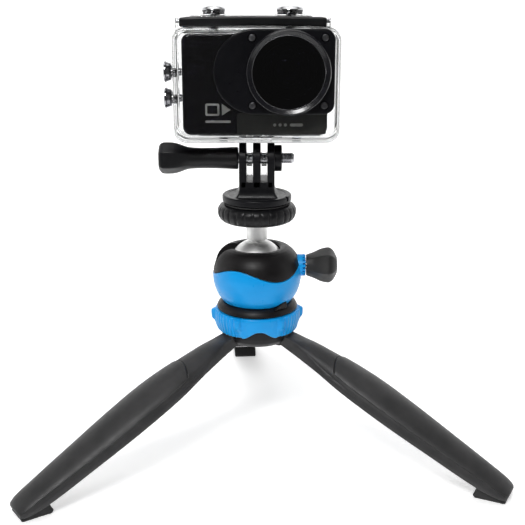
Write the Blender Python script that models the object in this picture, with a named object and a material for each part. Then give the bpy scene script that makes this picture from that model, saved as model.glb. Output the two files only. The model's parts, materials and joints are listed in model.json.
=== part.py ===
"""Action camera in a clear dive housing, on a ball head with three folding legs.

Dimensions are in millimetres and become metres in solid(). The hub's axis is x = y = 0 while the
pieces are made, the lens looks along -Y, +X is to the lens's right, and the floor is z = 0.
stand_on_origin() then moves the whole object so that its box is centred over the origin.
"""
from math import acos, atan2, cos, pi, radians, sin, sqrt

import bmesh
import bpy
from mathutils import Matrix, Vector

MM = 0.001
GAP = 0.3                      # clearance between touching pieces

# Legs: a straight chord from the hinge pin to the toe
LEG_YAW = 4.0                  # how far the leg pattern is turned about Z, degrees
LEG_AZIMUTHS = tuple(LEG_YAW + a for a in (-60.0, 60.0, 180.0))
PIVOT_R = 12.0                 # hinge pin to hub axis
PIVOT_Z = 55.5
TOE_R = 118.0
TOE_Z = 4.0
LEG_SLOPE = atan2(PIVOT_Z - TOE_Z, TOE_R - PIVOT_R)
KNUCKLE_R = 4.0
KNUCKLE_HALF = 4.2
LEG_PIN_R = 1.0
LEG_PIN_HALF = 9.0

# Hub and the two rings on it
HUB_R = 16.0
HUB_TOP = 66.8
HUB_BOTTOM = 51.0
HUB_SCREW_R = 2.1
COLLAR_R = 17.8
COLLAR_TOP = 70.4
RING_INNER = HUB_R + GAP
RING_R = 18.5
RING_TOP = HUB_TOP
RING_BOTTOM = 57.4
RING_ARCH = 3.2                # height of the arches between the legs
RING_LUG = 1.8

# Ball head
BALL_Z = 86.0
BALL_R = 12.0
SHELL_Z = 82.5                 # centre of the round outer shell
SHELL_R = 19.4
SHELL_WALL = 2.5
SHELL_BOTTOM = COLLAR_TOP + GAP
WAVE_Z = 85.2                  # the line where the dome meets the cup
WAVE_HEIGHT = 2.6
WAVE_CREST = -28.0             # azimuth of one of the three crests
OPENING_R = 9.9
NOTCH_HALF = 4.8
NOTCH_Z = 88.2                 # centre of the notch's round end
NECK_R = 4.4
NECK_TOP = 107.4
STUD_R = 3.1
STUD_TOP = 119.6
KNOB_X0 = 21.6
KNOB_X1 = 35.0
KNOB_R = 8.0
KNOB_TWIST = 17.0 * pi / 180   # how far the knob is turned on its screw

# Platform and mounting adapter
PLATFORM_Z0 = 106.8
PLATFORM_Z1 = 113.9
PLATFORM_R = 16.9
FLUTES = 28
PAD_Z1 = 114.9
DISC_Z0 = PAD_Z1 + GAP
DISC_Z1 = 118.2
DISC_R = 14.85
HINGE_Z = 133.6                # thumbscrew axis, along X through y = 0
PRONG_R = 7.5
PRONG_HALF = 1.4
PRONG_PITCH = 6.1
SLOT_BOTTOM = 124.4
SLOT_HALF = 1.4
CASE_PRONG_HALF = 1.1          # the housing's two prongs run in the slots
BOLT_R = 2.4
BOLT_END = 15.9
HANDLE_X0 = -41.5
HANDLE_X1 = -7.9

# Dive housing
CASE_X = 34.0
CASE_Z0 = 142.3
CASE_Z1 = 188.8
CASE_Y0 = -14.0
CASE_SPLIT = 9.0
CASE_Y1 = 14.5
CASE_CORNER = 5.5
CASE_WALL = 2.0
SEAL_INSET = 0.75              # seal in a groove in the housing's rear rim
SEAL_WIDTH = 0.5
DECK = (-27.0, 22.5, -7.0, 8.0)  # raised block round the top buttons: x0, x1, y0, y1
DECK_TOP = 193.0
LENS_X = 12.8
LENS_Z = 171.5
PORT_R = 15.2
BEZEL_R = 17.0
PLATE_HALF = 16.9
PLATE_RIGHT = 31.4
PLATE_LEFT_X = -0.3            # centre of the plate's round left end
PLATE_Y0 = -17.0
BEZEL_Y0 = -20.6
GLASS_R = 14.7
PORT_SCREWS = [(LENS_X + sx * 14.5, LENS_Z + sz * 13.4) for sx in (-1, 1) for sz in (-1, 1)]
LATCH_X0 = -30.8
LATCH_X1 = 28.0
LATCH_Y = -11.5
LATCH_Z = 191.1
LATCH_PIN_R = 0.8
DOOR_HINGE_Y = 11.8
DOOR_HINGE_Z = 140.1
DOOR_KNUCKLE_R = 1.8
DOOR_PIN_R = 0.8

# Push buttons on the housing: name, cap radius, travel
TOP_BUTTONS = {"shutter": (-17.6, 5.0), "power": (13.6, 5.7)}
TOP_BUTTON_Y = 1.0
TOP_CAP = (193.2, 196.3)
BUTTON_WELL = 191.3            # floor of the round well that a top button sinks into
SIDE_BUTTONS = {"upper": 169.8, "lower": 159.0}
SIDE_CAP_R = 4.4
SIDE_CAP = (-38.7, -35.5)
STEM_R = 1.6

# Camera
CAM_X0 = -30.3
CAM_X1 = 29.0
CAM_Z0 = 145.2
CAM_Z1 = 186.3
CAM_Y0 = -11.0
CAM_SPLIT = 5.0
CAM_Y1 = 11.0
CAM_CORNER = 3.4
CAM_WALL = 1.8
LENS_R = 11.0
LENS_Y0 = -15.6

COLOURS = {
    "clear_plastic": ((0.86, 0.89, 0.90), 0.06, 0.0),
    "camera_black": ((0.012, 0.012, 0.016), 0.18, 0.0),
    "black_plastic": ((0.020, 0.020, 0.023), 0.45, 0.0),
    "dome_black": ((0.030, 0.027, 0.028), 0.42, 0.0),
    "leg_grey": ((0.075, 0.073, 0.074), 0.62, 0.0),
    "rubber": ((0.045, 0.045, 0.046), 0.85, 0.0),
    "azure_plastic": ((0.030, 0.340, 0.790), 0.32, 0.0),
    "satin_steel": ((0.62, 0.62, 0.63), 0.28, 1.0),
    "chrome": ((0.80, 0.80, 0.82), 0.08, 1.0),
    "brass": ((0.70, 0.50, 0.22), 0.30, 1.0),
    "port_glass": ((0.020, 0.020, 0.028), 0.04, 0.0),
    "board_green": ((0.020, 0.120, 0.060), 0.50, 0.0),
    "battery_grey": ((0.160, 0.165, 0.180), 0.50, 0.0),
    "seal_white": ((0.80, 0.80, 0.78), 0.60, 0.0),
}


# ---------------------------------------------------------------- building blocks

def material(name):
    """The Principled material of that name, made once."""
    found = bpy.data.materials.get(name)
    if found:
        return found
    colour, roughness, metallic = COLOURS[name]
    made = bpy.data.materials.new(name)
    made.use_nodes = True
    shader = made.node_tree.nodes["Principled BSDF"]
    shader.inputs["Base Color"].default_value = (*colour, 1.0)
    shader.inputs["Roughness"].default_value = roughness
    shader.inputs["Metallic"].default_value = metallic
    return made


def solid(bm):
    """An object from a bmesh in millimetres, with its faces turned outward."""
    bmesh.ops.recalc_face_normals(bm, faces=bm.faces)
    bmesh.ops.scale(bm, vec=(MM, MM, MM), verts=bm.verts)
    mesh = bpy.data.meshes.new("solid")
    bm.to_mesh(mesh)
    bm.free()
    made = bpy.data.objects.new("solid", mesh)
    bpy.context.collection.objects.link(made)
    return made


def loft(rings, closed=False):
    """Skin between rings of equally many points; closed joins the last ring to the first."""
    bm = bmesh.new()
    loops = [[bm.verts.new(p) for p in ring] for ring in rings]
    pairs = list(zip(loops, loops[1:]))
    if closed:
        pairs.append((loops[-1], loops[0]))
    for low, high in pairs:
        for i in range(len(low)):
            j = (i + 1) % len(low)
            bm.faces.new((low[i], low[j], high[j], high[i]))
    if not closed:
        bm.faces.new(loops[0])
        bm.faces.new(loops[-1])
    return solid(bm)


def placed(axis, across, along):
    """A point from two coordinates across an axis and one along it."""
    a, b = across
    return {"X": (along, a, b), "Y": (a, along, b), "Z": (a, b, along)}[axis]


def prism(outline, axis, lo, hi):
    """An outline pushed along an axis; its coordinates follow X, Y, Z order without that axis."""
    return loft([[placed(axis, p, t) for p in outline] for t in (lo, hi)])


def box(x, y, z):
    outline = [(x[0], y[0]), (x[1], y[0]), (x[1], y[1]), (x[0], y[1])]
    return prism(outline, "Z", *z)


def circle(radius, segments, centre=(0.0, 0.0)):
    turns = [2 * pi * i / segments for i in range(segments)]
    return [(centre[0] + radius * cos(t), centre[1] + radius * sin(t)) for t in turns]


def rod(axis, radius, lo, hi, centre=(0.0, 0.0), segments=24):
    return prism(circle(radius, segments, centre), axis, lo, hi)


def rounded(x, z, radius, steps=5):
    """A rectangle with round corners."""
    corners = [(x[1] - radius, z[1] - radius, 0), (x[0] + radius, z[1] - radius, 90),
               (x[0] + radius, z[0] + radius, 180), (x[1] - radius, z[0] + radius, 270)]
    points = []
    for cx, cz, start in corners:
        for i in range(steps + 1):
            turn = radians(start + 90 * i / steps)
            points.append((cx + radius * cos(turn), cz + radius * sin(turn)))
    return points


def turned(profile, axis="Z", centre=(0.0, 0.0), segments=32, closed=True):
    """A profile of (radius, place along the axis) turned about the axis.

    A closed profile encloses a ring. An open one starts and ends in flat round faces.
    """
    rings = [[placed(axis, p, along) for p in circle(radius, segments, centre)]
             for radius, along in profile]
    return loft(rings, closed)


def combine(target, tool, operation):
    """Boolean of two solids, which uses up the second."""
    modifier = target.modifiers.new("combine", "BOOLEAN")
    modifier.operation = operation
    modifier.solver = "EXACT"
    modifier.object = tool
    shape = target.evaluated_get(bpy.context.evaluated_depsgraph_get())
    mesh = bpy.data.meshes.new_from_object(shape)
    target.modifiers.clear()
    target.data = mesh
    bpy.data.objects.remove(tool)
    return target


def cut(target, *tools):
    for tool in tools:
        combine(target, tool, "DIFFERENCE")
    return target


def weld(target, *others):
    for other in others:
        combine(target, other, "UNION")
    return target


def node(name, made, colour, origin=(0.0, 0.0, 0.0), group=None):
    """Name a solid, give it its material and put its origin on its joint's axis."""
    shift = Vector(origin) * MM
    made.name = name
    made.data.name = name
    made.data.transform(Matrix.Translation(-shift))
    made.location = shift
    made.data.materials.clear()
    made.data.materials.append(material(colour))
    made.data.shade_smooth()
    made.data.set_sharp_from_angle(angle=radians(32))
    made.parent = group
    return made


def direction(azimuth):
    """Unit vector for an azimuth in degrees, counted from -Y towards +X."""
    return sin(radians(azimuth)), -cos(radians(azimuth))


def from_legs(azimuth):
    """How far an azimuth is from the nearest leg, 0 to 60 degrees."""
    turn = (azimuth - LEG_AZIMUTHS[0]) % 120.0
    return min(turn, 120.0 - turn)


# ---------------------------------------------------------------- legs

def floor_line(u):
    """Height of the floor in the leg's own frame, at a distance u from its hinge."""
    return (u * sin(LEG_SLOPE) - PIVOT_Z) / cos(LEG_SLOPE)


def leg_section(u, half, bottom, edge, crown):
    """Outline across a leg: flat underside, upright sides and an arched top."""
    chamfer = min(0.22 * half, 1.0)
    arch = [(half * cos(t), edge + crown * sin(t)) for t in (radians(30 * i) for i in range(1, 6))]
    points = [(-half + chamfer, bottom), (half - chamfer, bottom), (half, bottom + chamfer),
              (half, edge), *arch, (-half, edge), (-half, bottom + chamfer)]
    return [(u, y, n) for y, n in points]


def leg_blank():
    stations = [              # along the leg, half width, underside, top edge, height of the arch
        (2.4, 4.2, -2.6, 2.3, 0.5),
        (7.0, 4.4, -2.7, 2.9, 0.6),
        (14.0, 6.2, -2.0, 2.4, 2.8),
        (24.0, 8.4, -1.5, 1.1, 5.1),
        (36.0, 10.4, -1.8, 0.5, 6.3),
        (48.0, 11.2, -2.1, 0.1, 6.8),
        (64.0, 11.0, -2.7, -0.6, 6.7),
        (82.0, 9.9, -3.4, -1.2, 6.0),
        (104.0, 8.3, -4.2, -1.6, 4.6),
        (114.0, 7.4, -3.4, -1.6, 3.4),
        (117.6, 6.0, -3.0, -1.7, 2.4),
    ]
    blank = loft([leg_section(*s) for s in stations])
    weld(blank, rod("Y", KNUCKLE_R, -KNUCKLE_HALF, KNUCKLE_HALF, segments=24))
    return cut(blank, rod("Y", LEG_PIN_R + GAP, -20, 20, segments=12))


def foot_blank():
    """Rubber wedge that is flat on the floor."""
    heel, toe = 106.0, 117.4
    outline = [(heel - 0.6, -4.6), (toe - 3.4, -3.8), (toe + 0.4, -3.4),
               (toe + 0.6, floor_line(toe) + 0.6), (toe, floor_line(toe)),
               (heel + 0.6, floor_line(heel + 0.6)), (heel - 0.8, floor_line(heel) + 1.0)]
    return prism(outline, "Y", -5.7, 5.7)


def make_legs(root):
    for number, azimuth in enumerate(LEG_AZIMUTHS, 1):
        out_x, out_y = direction(azimuth)
        hinge = bpy.data.objects.new(f"leg_hinge_{number}", None)
        bpy.context.collection.objects.link(hinge)
        hinge.location = Vector((PIVOT_R * out_x, PIVOT_R * out_y, PIVOT_Z)) * MM
        hinge.rotation_euler = (0.0, LEG_SLOPE, radians(azimuth - 90))
        hinge.parent = root
        node(f"leg_{number}", leg_blank(), "leg_grey", group=hinge)
        node(f"foot_{number}", foot_blank(), "rubber", group=hinge)
        pin = rod("Y", LEG_PIN_R, -LEG_PIN_HALF, LEG_PIN_HALF, segments=12)
        node(f"leg_pin_{number}", pin, "satin_steel", group=hinge)


# ---------------------------------------------------------------- hub

def radial_tool(outline_box, azimuth):
    """A box given along a radius, turned to an azimuth about the hub's axis."""
    tool = box(*outline_box)
    tool.rotation_euler = (0.0, 0.0, radians(azimuth - 90))
    return tool


def pin_bore(azimuth):
    tool = rod("Y", LEG_PIN_R + GAP, -LEG_PIN_HALF - 6, LEG_PIN_HALF + 6, (PIVOT_R, PIVOT_Z), 12)
    tool.rotation_euler = (0.0, 0.0, radians(azimuth - 90))
    return tool


def make_hub(root):
    bore = HUB_SCREW_R + GAP
    profile = [(bore, HUB_TOP), (HUB_R, HUB_TOP), (HUB_R, 56.5), (15.6, 54.6), (14.0, 52.8), (10.0, 51.4),
               (8.5, HUB_BOTTOM), (4.5, HUB_BOTTOM), (4.5, 55.2), (bore, 55.2)]
    hub = turned(profile, segments=36)
    slot_half = KNUCKLE_HALF + 0.4
    slot = ((PIVOT_R - KNUCKLE_R - 0.5, 24.0), (-slot_half, slot_half), (40.0, PIVOT_Z + KNUCKLE_R + 0.5))
    for azimuth in LEG_AZIMUTHS:
        cut(hub, radial_tool(slot, azimuth), pin_bore(azimuth))
    node("hub_body", hub, "black_plastic", group=root)

    collar = [(bore, HUB_TOP + GAP), (COLLAR_R - 0.2, HUB_TOP + GAP), (COLLAR_R, HUB_TOP + 0.9),
              (COLLAR_R - 0.7, COLLAR_TOP - 1.2), (COLLAR_R - 2.0, COLLAR_TOP), (bore, COLLAR_TOP)]
    node("hub_collar", turned(collar, segments=36), "dome_black", group=root)

    screw = [(1.6, 51.6), (3.9, 51.9), (4.1, 54.9), (HUB_SCREW_R, 54.9), (HUB_SCREW_R, 72.4), (1.6, 72.9)]
    node("hub_screw", turned(screw, segments=20, closed=False), "satin_steel", group=root)


def ring_lower_edge(azimuth):
    """Lower edge of the blue ring, arched half way between the legs."""
    middle = 60.0 - from_legs(azimuth)
    if middle > 26.0:
        return RING_BOTTOM + 0.3
    return RING_BOTTOM + RING_ARCH * 0.5 * (1 + cos(pi * middle / 26.0))


def ring_bulge(azimuth):
    """Share of a finger lug that an azimuth carries; the lugs flank the arches."""
    away = abs(from_legs(azimuth) - 30.0)
    return max(0.0, cos(pi * away / 12.0)) if away < 6.0 else 0.0


def make_leg_ring(root):
    steps = 60
    rings = []
    for i in range(steps):
        azimuth = 360.0 * i / steps + LEG_YAW
        lug = RING_LUG * ring_bulge(azimuth)
        low = ring_lower_edge(azimuth)
        profile = [(RING_INNER, RING_TOP), (RING_R + 0.3 * lug, RING_TOP),
                   (RING_R + 0.3 + lug, RING_TOP - 1.2), (RING_R + 0.1 + lug, 62.4),
                   (RING_R - 0.3, 61.0), (RING_R - 1.0, low), (RING_INNER, low)]
        x, y = direction(azimuth)
        rings.append([(r * x, r * y, z) for r, z in profile])
    node("leg_ring", loft(rings, closed=True), "azure_plastic", group=root)


# ---------------------------------------------------------------- ball head

def wave(azimuth):
    return WAVE_Z + WAVE_HEIGHT * cos(radians(3 * (azimuth - WAVE_CREST)))


def around(profile_at, steps=40):
    """A ring whose profile of (radius, height) changes with the azimuth."""
    rings = []
    for i in range(steps):
        azimuth = 360.0 * i / steps
        x, y = direction(azimuth)
        rings.append([(r * x, r * y, z) for r, z in profile_at(azimuth)])
    return loft(rings, closed=True)


def shell_radius(z, radius=SHELL_R):
    return sqrt(radius ** 2 - (z - SHELL_Z) ** 2)


def cavity_radius(z):
    return sqrt((BALL_R + GAP) ** 2 - (z - BALL_Z) ** 2)


def dome_profile(azimuth):
    low = wave(azimuth) + GAP / 2
    inner = SHELL_R - SHELL_WALL
    outer = [(shell_radius(low), low), (shell_radius(0.5 * (low + 89.6)), 0.5 * (low + 89.6)),
             (shell_radius(89.6) - 0.1, 89.6), (16.4, 92.2), (14.2, 94.1), (12.0, 94.8), (10.6, 94.5)]
    inside = [(OPENING_R, 93.4), (cavity_radius(92.0), 92.0), (cavity_radius(90.4), 90.4),
              (inner - 0.6, 90.4), (inner - 0.6, low)]
    return outer + inside


def cup_profile(azimuth):
    high = wave(azimuth) - GAP / 2
    inner = SHELL_R - SHELL_WALL
    bore = HUB_SCREW_R + GAP
    heights = [high, 0.5 * (high + 80.0), 79.0, 76.0, 73.2, SHELL_BOTTOM]
    outer = [(shell_radius(z), z) for z in heights]
    inside = [(bore, SHELL_BOTTOM), (bore, 73.0), (shell_radius(73.0, inner), 73.0),
              (shell_radius(76.0, inner), 76.0), (inner - 0.2, 80.0), (inner - 0.2, high)]
    return outer + inside


def notch_tool():
    """U-shaped slot that lets the neck lie down towards -X."""
    outline = [(NOTCH_HALF * cos(t), NOTCH_Z + NOTCH_HALF * sin(t))
               for t in (radians(180 + 22.5 * i) for i in range(9))]
    outline += [(NOTCH_HALF, 120.0), (-NOTCH_HALF, 120.0)]
    return prism(outline, "X", -30.0, 0.0)


def make_ball_head(root):
    boss_r = 4.8
    dome = around(dome_profile)
    cut(dome, notch_tool(), rod("X", boss_r + GAP, 12.0, 24.0, (0.0, BALL_Z)))
    node("ball_dome", dome, "dome_black", group=root)

    cup = around(cup_profile)
    weld(cup, rod("X", boss_r, 17.6, 21.2, (0.0, BALL_Z)))
    cut(cup, rod("X", 2.4, 10.0, 24.0, (0.0, BALL_Z), 16))
    node("ball_cup", cup, "azure_plastic", group=root)

    seat_profile = [(cavity_radius(z), z) for z in (90.0, 88.0, 86.0, 83.0, 80.0, 77.0, 74.6)]
    seat_profile += [(shell_radius(74.6, 16.4), 74.6), (shell_radius(77.0, 16.4), 77.0),
                     (15.9, 82.0), (15.9, 90.0)]
    seat = turned(seat_profile, segments=24)
    cut(seat, notch_tool(), rod("X", 3.3, 0.0, 20.0, (0.0, BALL_Z), 20))
    node("ball_seat", seat, "seal_white", group=root)

    shoe = rod("X", 3.0, 12.4, 15.6, (0.0, BALL_Z), 20)
    node("clamp_shoe", shoe, "brass", group=root)

    start = acos(NECK_R / BALL_R)
    ball = [(BALL_R * cos(a), BALL_Z + BALL_R * sin(a))
            for a in (-radians(80) + (start + radians(80)) * i / 11 for i in range(12))]
    stud = ball + [(NECK_R, NECK_TOP), (STUD_R, NECK_TOP), (STUD_R, STUD_TOP - 0.6),
                   (STUD_R - 0.6, STUD_TOP)]
    stud = turned(stud, segments=24, closed=False)
    node("ball_stud", stud, "satin_steel", (0.0, 0.0, BALL_Z), root)

    make_lock_knob(root)


def make_lock_knob(root):
    """Flared six-sided knob and the screw that clamps the ball."""
    steps = 36
    sixth = pi / 3
    shape = [(KNOB_X0, 4.6, 0.1), (24.5, 5.6, 0.4), (28.0, 7.3, 0.8), (31.4, KNOB_R, 0.9),
             (33.6, 7.0, 0.8), (KNOB_X1, 3.6, 0.3)]
    rings = []
    for x, radius, flatness in shape:
        turns = [2 * pi * i / steps for i in range(steps)]
        facets = [cos(sixth / 2) / cos((t - KNOB_TWIST) % sixth - sixth / 2) for t in turns]
        radii = [radius * (1 - flatness * (1 - facet)) for facet in facets]
        rings.append([(x, r * sin(t), BALL_Z + r * cos(t)) for r, t in zip(radii, turns)])
    knob = cut(loft(rings), rod("X", 2.0 + GAP, 10.0, 31.0, (0.0, BALL_Z), 16))
    axis = (KNOB_X0, 0.0, BALL_Z)
    node("lock_knob", knob, "black_plastic", axis, root)
    screw = [(1.4, 15.9), (2.0, 16.5), (2.0, 30.6)]
    node("lock_screw", turned(screw, "X", (0.0, BALL_Z), 16, closed=False), "satin_steel", axis, root)


# ---------------------------------------------------------------- platform and adapter

def make_platform(root):
    steps = FLUTES * 2
    wide = NECK_R + GAP
    narrow = STUD_R + GAP
    step_z = NECK_TOP + GAP
    rings = []
    for radius, z, flute in [(narrow, PLATFORM_Z1, 0), (PLATFORM_R - 1.9, PLATFORM_Z1, 0),
                             (PLATFORM_R - 0.3, PLATFORM_Z1 - 1.6, 0.6), (PLATFORM_R, 109.4, 0.7),
                             (PLATFORM_R - 1.5, PLATFORM_Z0, 0.2), (wide, PLATFORM_Z0, 0),
                             (wide, step_z, 0), (narrow, step_z, 0)]:
        ring = []
        for i in range(steps):
            turn = 2 * pi * i / steps
            reach = radius - flute * (i % 2)
            ring.append((reach * cos(turn), reach * sin(turn), z))
        rings.append(ring)
    axis = (0.0, 0.0, PLATFORM_Z0)
    node("platform_ring", loft(rings, closed=True), "black_plastic", axis, root)
    pad_low = PLATFORM_Z1 + GAP
    pad = [(narrow, PAD_Z1), (DISC_R - 0.6, PAD_Z1), (DISC_R - 0.6, pad_low), (narrow, pad_low)]
    node("platform_pad", turned(pad, segments=36), "rubber", axis, root)


def prong_outline(radius, root_z, steps=10):
    """Side view of a mounting prong: round end about the hinge, straight down to root_z."""
    arc = [(radius * cos(pi * i / steps), HINGE_Z + radius * sin(pi * i / steps)) for i in range(steps + 1)]
    return arc + [(-radius, root_z), (radius, root_z)]


def make_adapter(root):
    """Disc with three prongs, a captive nut and a threaded insert."""
    half = PRONG_PITCH + PRONG_HALF
    adapter = turned([(5.2, DISC_Z0), (DISC_R - 0.3, DISC_Z0), (DISC_R, DISC_Z0 + 0.5),
                      (DISC_R, DISC_Z1 - 0.4), (DISC_R - 0.5, DISC_Z1), (5.2, DISC_Z1)], segments=36)
    foot = loft([rectangle_ring(half + 1.3, PRONG_R + 0.6, DISC_Z1 - 1.2),
                 rectangle_ring(half + 1.0, PRONG_R + 0.4, 119.4),
                 rectangle_ring(half, PRONG_R, 121.6),
                 rectangle_ring(half, PRONG_R, 122.4)])
    block = prism(prong_outline(PRONG_R, 122.0), "X", -half, half)
    boss = rod("X", 5.6, half - 0.5, 10.6, (0.0, HINGE_Z), 24)
    weld(adapter, foot, block, boss)
    slots = [box((x - SLOT_HALF, x + SLOT_HALF), (-9, 9), (SLOT_BOTTOM, 145))
             for x in (-PRONG_PITCH / 2, PRONG_PITCH / 2)]
    nut_pocket = rod("X", 4.69, half - 0.6, 12.0, (0.0, HINGE_Z), 6)
    cut(adapter, *slots, rod("X", BOLT_R + GAP, -12.0, 14.0, (0.0, HINGE_Z), 16), nut_pocket,
        rod("Z", 5.2, 110.0, 121.0, segments=24))
    axis = (0.0, 0.0, DISC_Z0)
    node("mount_adapter", adapter, "black_plastic", axis, root)
    bore = STUD_R + GAP
    insert = turned([(bore, DISC_Z0), (4.8, DISC_Z0), (4.8, 120.6), (bore, 120.6)], segments=24)
    node("adapter_insert", insert, "brass", axis, root)
    nut = cut(rod("X", 4.39, half - 0.3, 10.3, (0.0, HINGE_Z), 6),
              rod("X", BOLT_R + GAP, 0.0, 14.0, (0.0, HINGE_Z), 16))
    node("clamp_nut", nut, "satin_steel", axis, root)


def rectangle_ring(half_x, half_y, z):
    return [(-half_x, -half_y, z), (half_x, -half_y, z), (half_x, half_y, z), (-half_x, half_y, z)]


def make_thumbscrew(root):
    steps = 24
    shape = [(HANDLE_X1, 4.5, 0), (-9.2, 4.75, 0), (-14.0, 4.6, 0), (-19.5, 4.4, 0), (-25.0, 4.4, 0),
             (-28.4, 4.8, 0), (-31.0, 5.3, 0.03), (-33.0, 7.0, 0.10), (-36.0, 7.2, 0.12),
             (-40.2, 7.2, 0.10), (HANDLE_X0, 6.0, 0.06)]
    rings = []
    for x, radius, lobe in shape:
        turns = [2 * pi * i / steps for i in range(steps)]
        radii = [radius * (1 - lobe * 0.5 * (1 - cos(6 * t))) for t in turns]
        rings.append([(x, r * sin(t), HINGE_Z + r * cos(t)) for r, t in zip(radii, turns)])
    handle = cut(loft(rings), rod("X", BOLT_R + GAP, -24.0, 0.0, (0.0, HINGE_Z), 16))
    axis = (0.0, 0.0, HINGE_Z)
    node("thumb_handle", handle, "black_plastic", axis, root)
    bolt = [(BOLT_R - 0.5, -23.6), (BOLT_R, -23.1), (BOLT_R, BOLT_END - 0.8), (BOLT_R - 0.8, BOLT_END)]
    node("thumb_bolt", turned(bolt, "X", (0.0, HINGE_Z), 20, closed=False), "satin_steel", axis, root)


# ---------------------------------------------------------------- dive housing

def case_outline(inset=0.0):
    x = (-CASE_X + inset, CASE_X - inset)
    return rounded(x, (CASE_Z0 + inset, CASE_Z1 - inset), CASE_CORNER - inset)


def make_case_front(root):
    case = prism(case_outline(), "Y", CASE_Y0, CASE_SPLIT)
    deck = box(DECK[:2], DECK[2:], (CASE_Z1 - 1.0, DECK_TOP))
    weld(case, deck)
    for x in (-PRONG_PITCH / 2, PRONG_PITCH / 2):
        weld(case, prism(hanging_prong(), "X", x - CASE_PRONG_HALF, x + CASE_PRONG_HALF))
    for x0, x1 in ((LATCH_X0 - 1.5, LATCH_X0 - 0.4), (LATCH_X1 + 0.4, LATCH_X1 + 1.5)):
        weld(case, box((x0, x1), (-13.1, -9.9), (186.0, LATCH_Z + 1.5)))
    for x0, x1 in ((-16.0, -12.4), (15.0, 18.6)):
        weld(case, box((x0, x1), (CASE_SPLIT - 2.0, DOOR_HINGE_Y), (DOOR_HINGE_Z - 1.2, CASE_Z0 - GAP)),
             box((x0, x1), (CASE_SPLIT - 2.0, CASE_SPLIT), (DOOR_HINGE_Z, CASE_Z0 + 1.0)),
             rod("X", DOOR_KNUCKLE_R, x0, x1, (DOOR_HINGE_Y, DOOR_HINGE_Z), 16))
    groove = prism(case_outline(SEAL_INSET - GAP), "Y", CASE_SPLIT - 0.9, CASE_SPLIT + 5)
    cut(groove, prism(case_outline(SEAL_INSET + SEAL_WIDTH + GAP), "Y", 0.0, 20.0))
    cavity = prism(case_outline(CASE_WALL), "Y", CASE_Y0 + CASE_WALL, CASE_Y1 + 5)
    port = rod("Y", PORT_R, CASE_Y0 - 5, 0.0, (LENS_X, LENS_Z), 32)
    cut(case, cavity, groove, port, rod("X", BOLT_R + GAP, -20.0, 20.0, (0.0, HINGE_Z), 16),
        rod("X", LATCH_PIN_R + GAP, -40.0, 40.0, (LATCH_Y, LATCH_Z), 12),
        rod("X", DOOR_PIN_R + GAP, -40.0, 40.0, (DOOR_HINGE_Y, DOOR_HINGE_Z), 12))
    for x, radius in TOP_BUTTONS.values():
        cut(case, rod("Z", STEM_R + GAP, CAM_Z1, 200.0, (x, TOP_BUTTON_Y), 16),
            rod("Z", radius + 0.5, BUTTON_WELL, 200.0, (x, TOP_BUTTON_Y), 24))
    for z in SIDE_BUTTONS.values():
        cut(case, rod("X", STEM_R + GAP, -40.0, CAM_X0, (TOP_BUTTON_Y, z), 16))
    for x, z in PORT_SCREWS:
        cut(case, rod("Y", 1.1, CASE_Y0 - 2, -12.6, (x, z), 10))
    node("case_front", case, "clear_plastic", (0.0, 0.0, HINGE_Z), root)


def hanging_prong(steps=10):
    """Side view of a housing prong: round end below the hinge, straight up into the case."""
    turns = [pi * i / steps for i in range(steps + 1)]
    arc = [(-PRONG_R * cos(t), HINGE_Z - PRONG_R * sin(t)) for t in turns]
    return arc + [(PRONG_R, CASE_Z0 + 1.0), (-PRONG_R, CASE_Z0 + 1.0)]


def make_case_door(root):
    door = prism(case_outline(), "Y", CASE_SPLIT + GAP, CASE_Y1)
    weld(door, box((-31.5, 27.0), (10.4, 13.6), (CASE_Z1 - 1.0, CASE_Z1 + 0.4)))
    for x0, x1 in ((-24.0, -16.4), (-12.0, -9.6), (11.0, 14.6), (19.0, 26.0)):
        weld(door, box((x0, x1), (CASE_SPLIT + 2.6, CASE_Y1 - 0.4), (DOOR_HINGE_Z, CASE_Z0 + 1.0)),
             rod("X", DOOR_KNUCKLE_R, x0, x1, (DOOR_HINGE_Y, DOOR_HINGE_Z), 16))
    cut(door, prism(case_outline(CASE_WALL), "Y", 0.0, CASE_Y1 - CASE_WALL),
        rod("X", DOOR_PIN_R + GAP, -40.0, 40.0, (DOOR_HINGE_Y, DOOR_HINGE_Z), 12))
    axis = (0.0, DOOR_HINGE_Y, DOOR_HINGE_Z)
    node("case_door", door, "clear_plastic", axis, root)
    seal = prism(case_outline(SEAL_INSET), "Y", CASE_SPLIT - 0.6, CASE_SPLIT)
    cut(seal, prism(case_outline(SEAL_INSET + SEAL_WIDTH), "Y", 0.0, 20.0))
    node("door_seal", seal, "seal_white", group=root)
    pin = rod("X", DOOR_PIN_R, -25.0, 27.4, (DOOR_HINGE_Y, DOOR_HINGE_Z), 12)
    node("door_pin", pin, "satin_steel", group=root)


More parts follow.
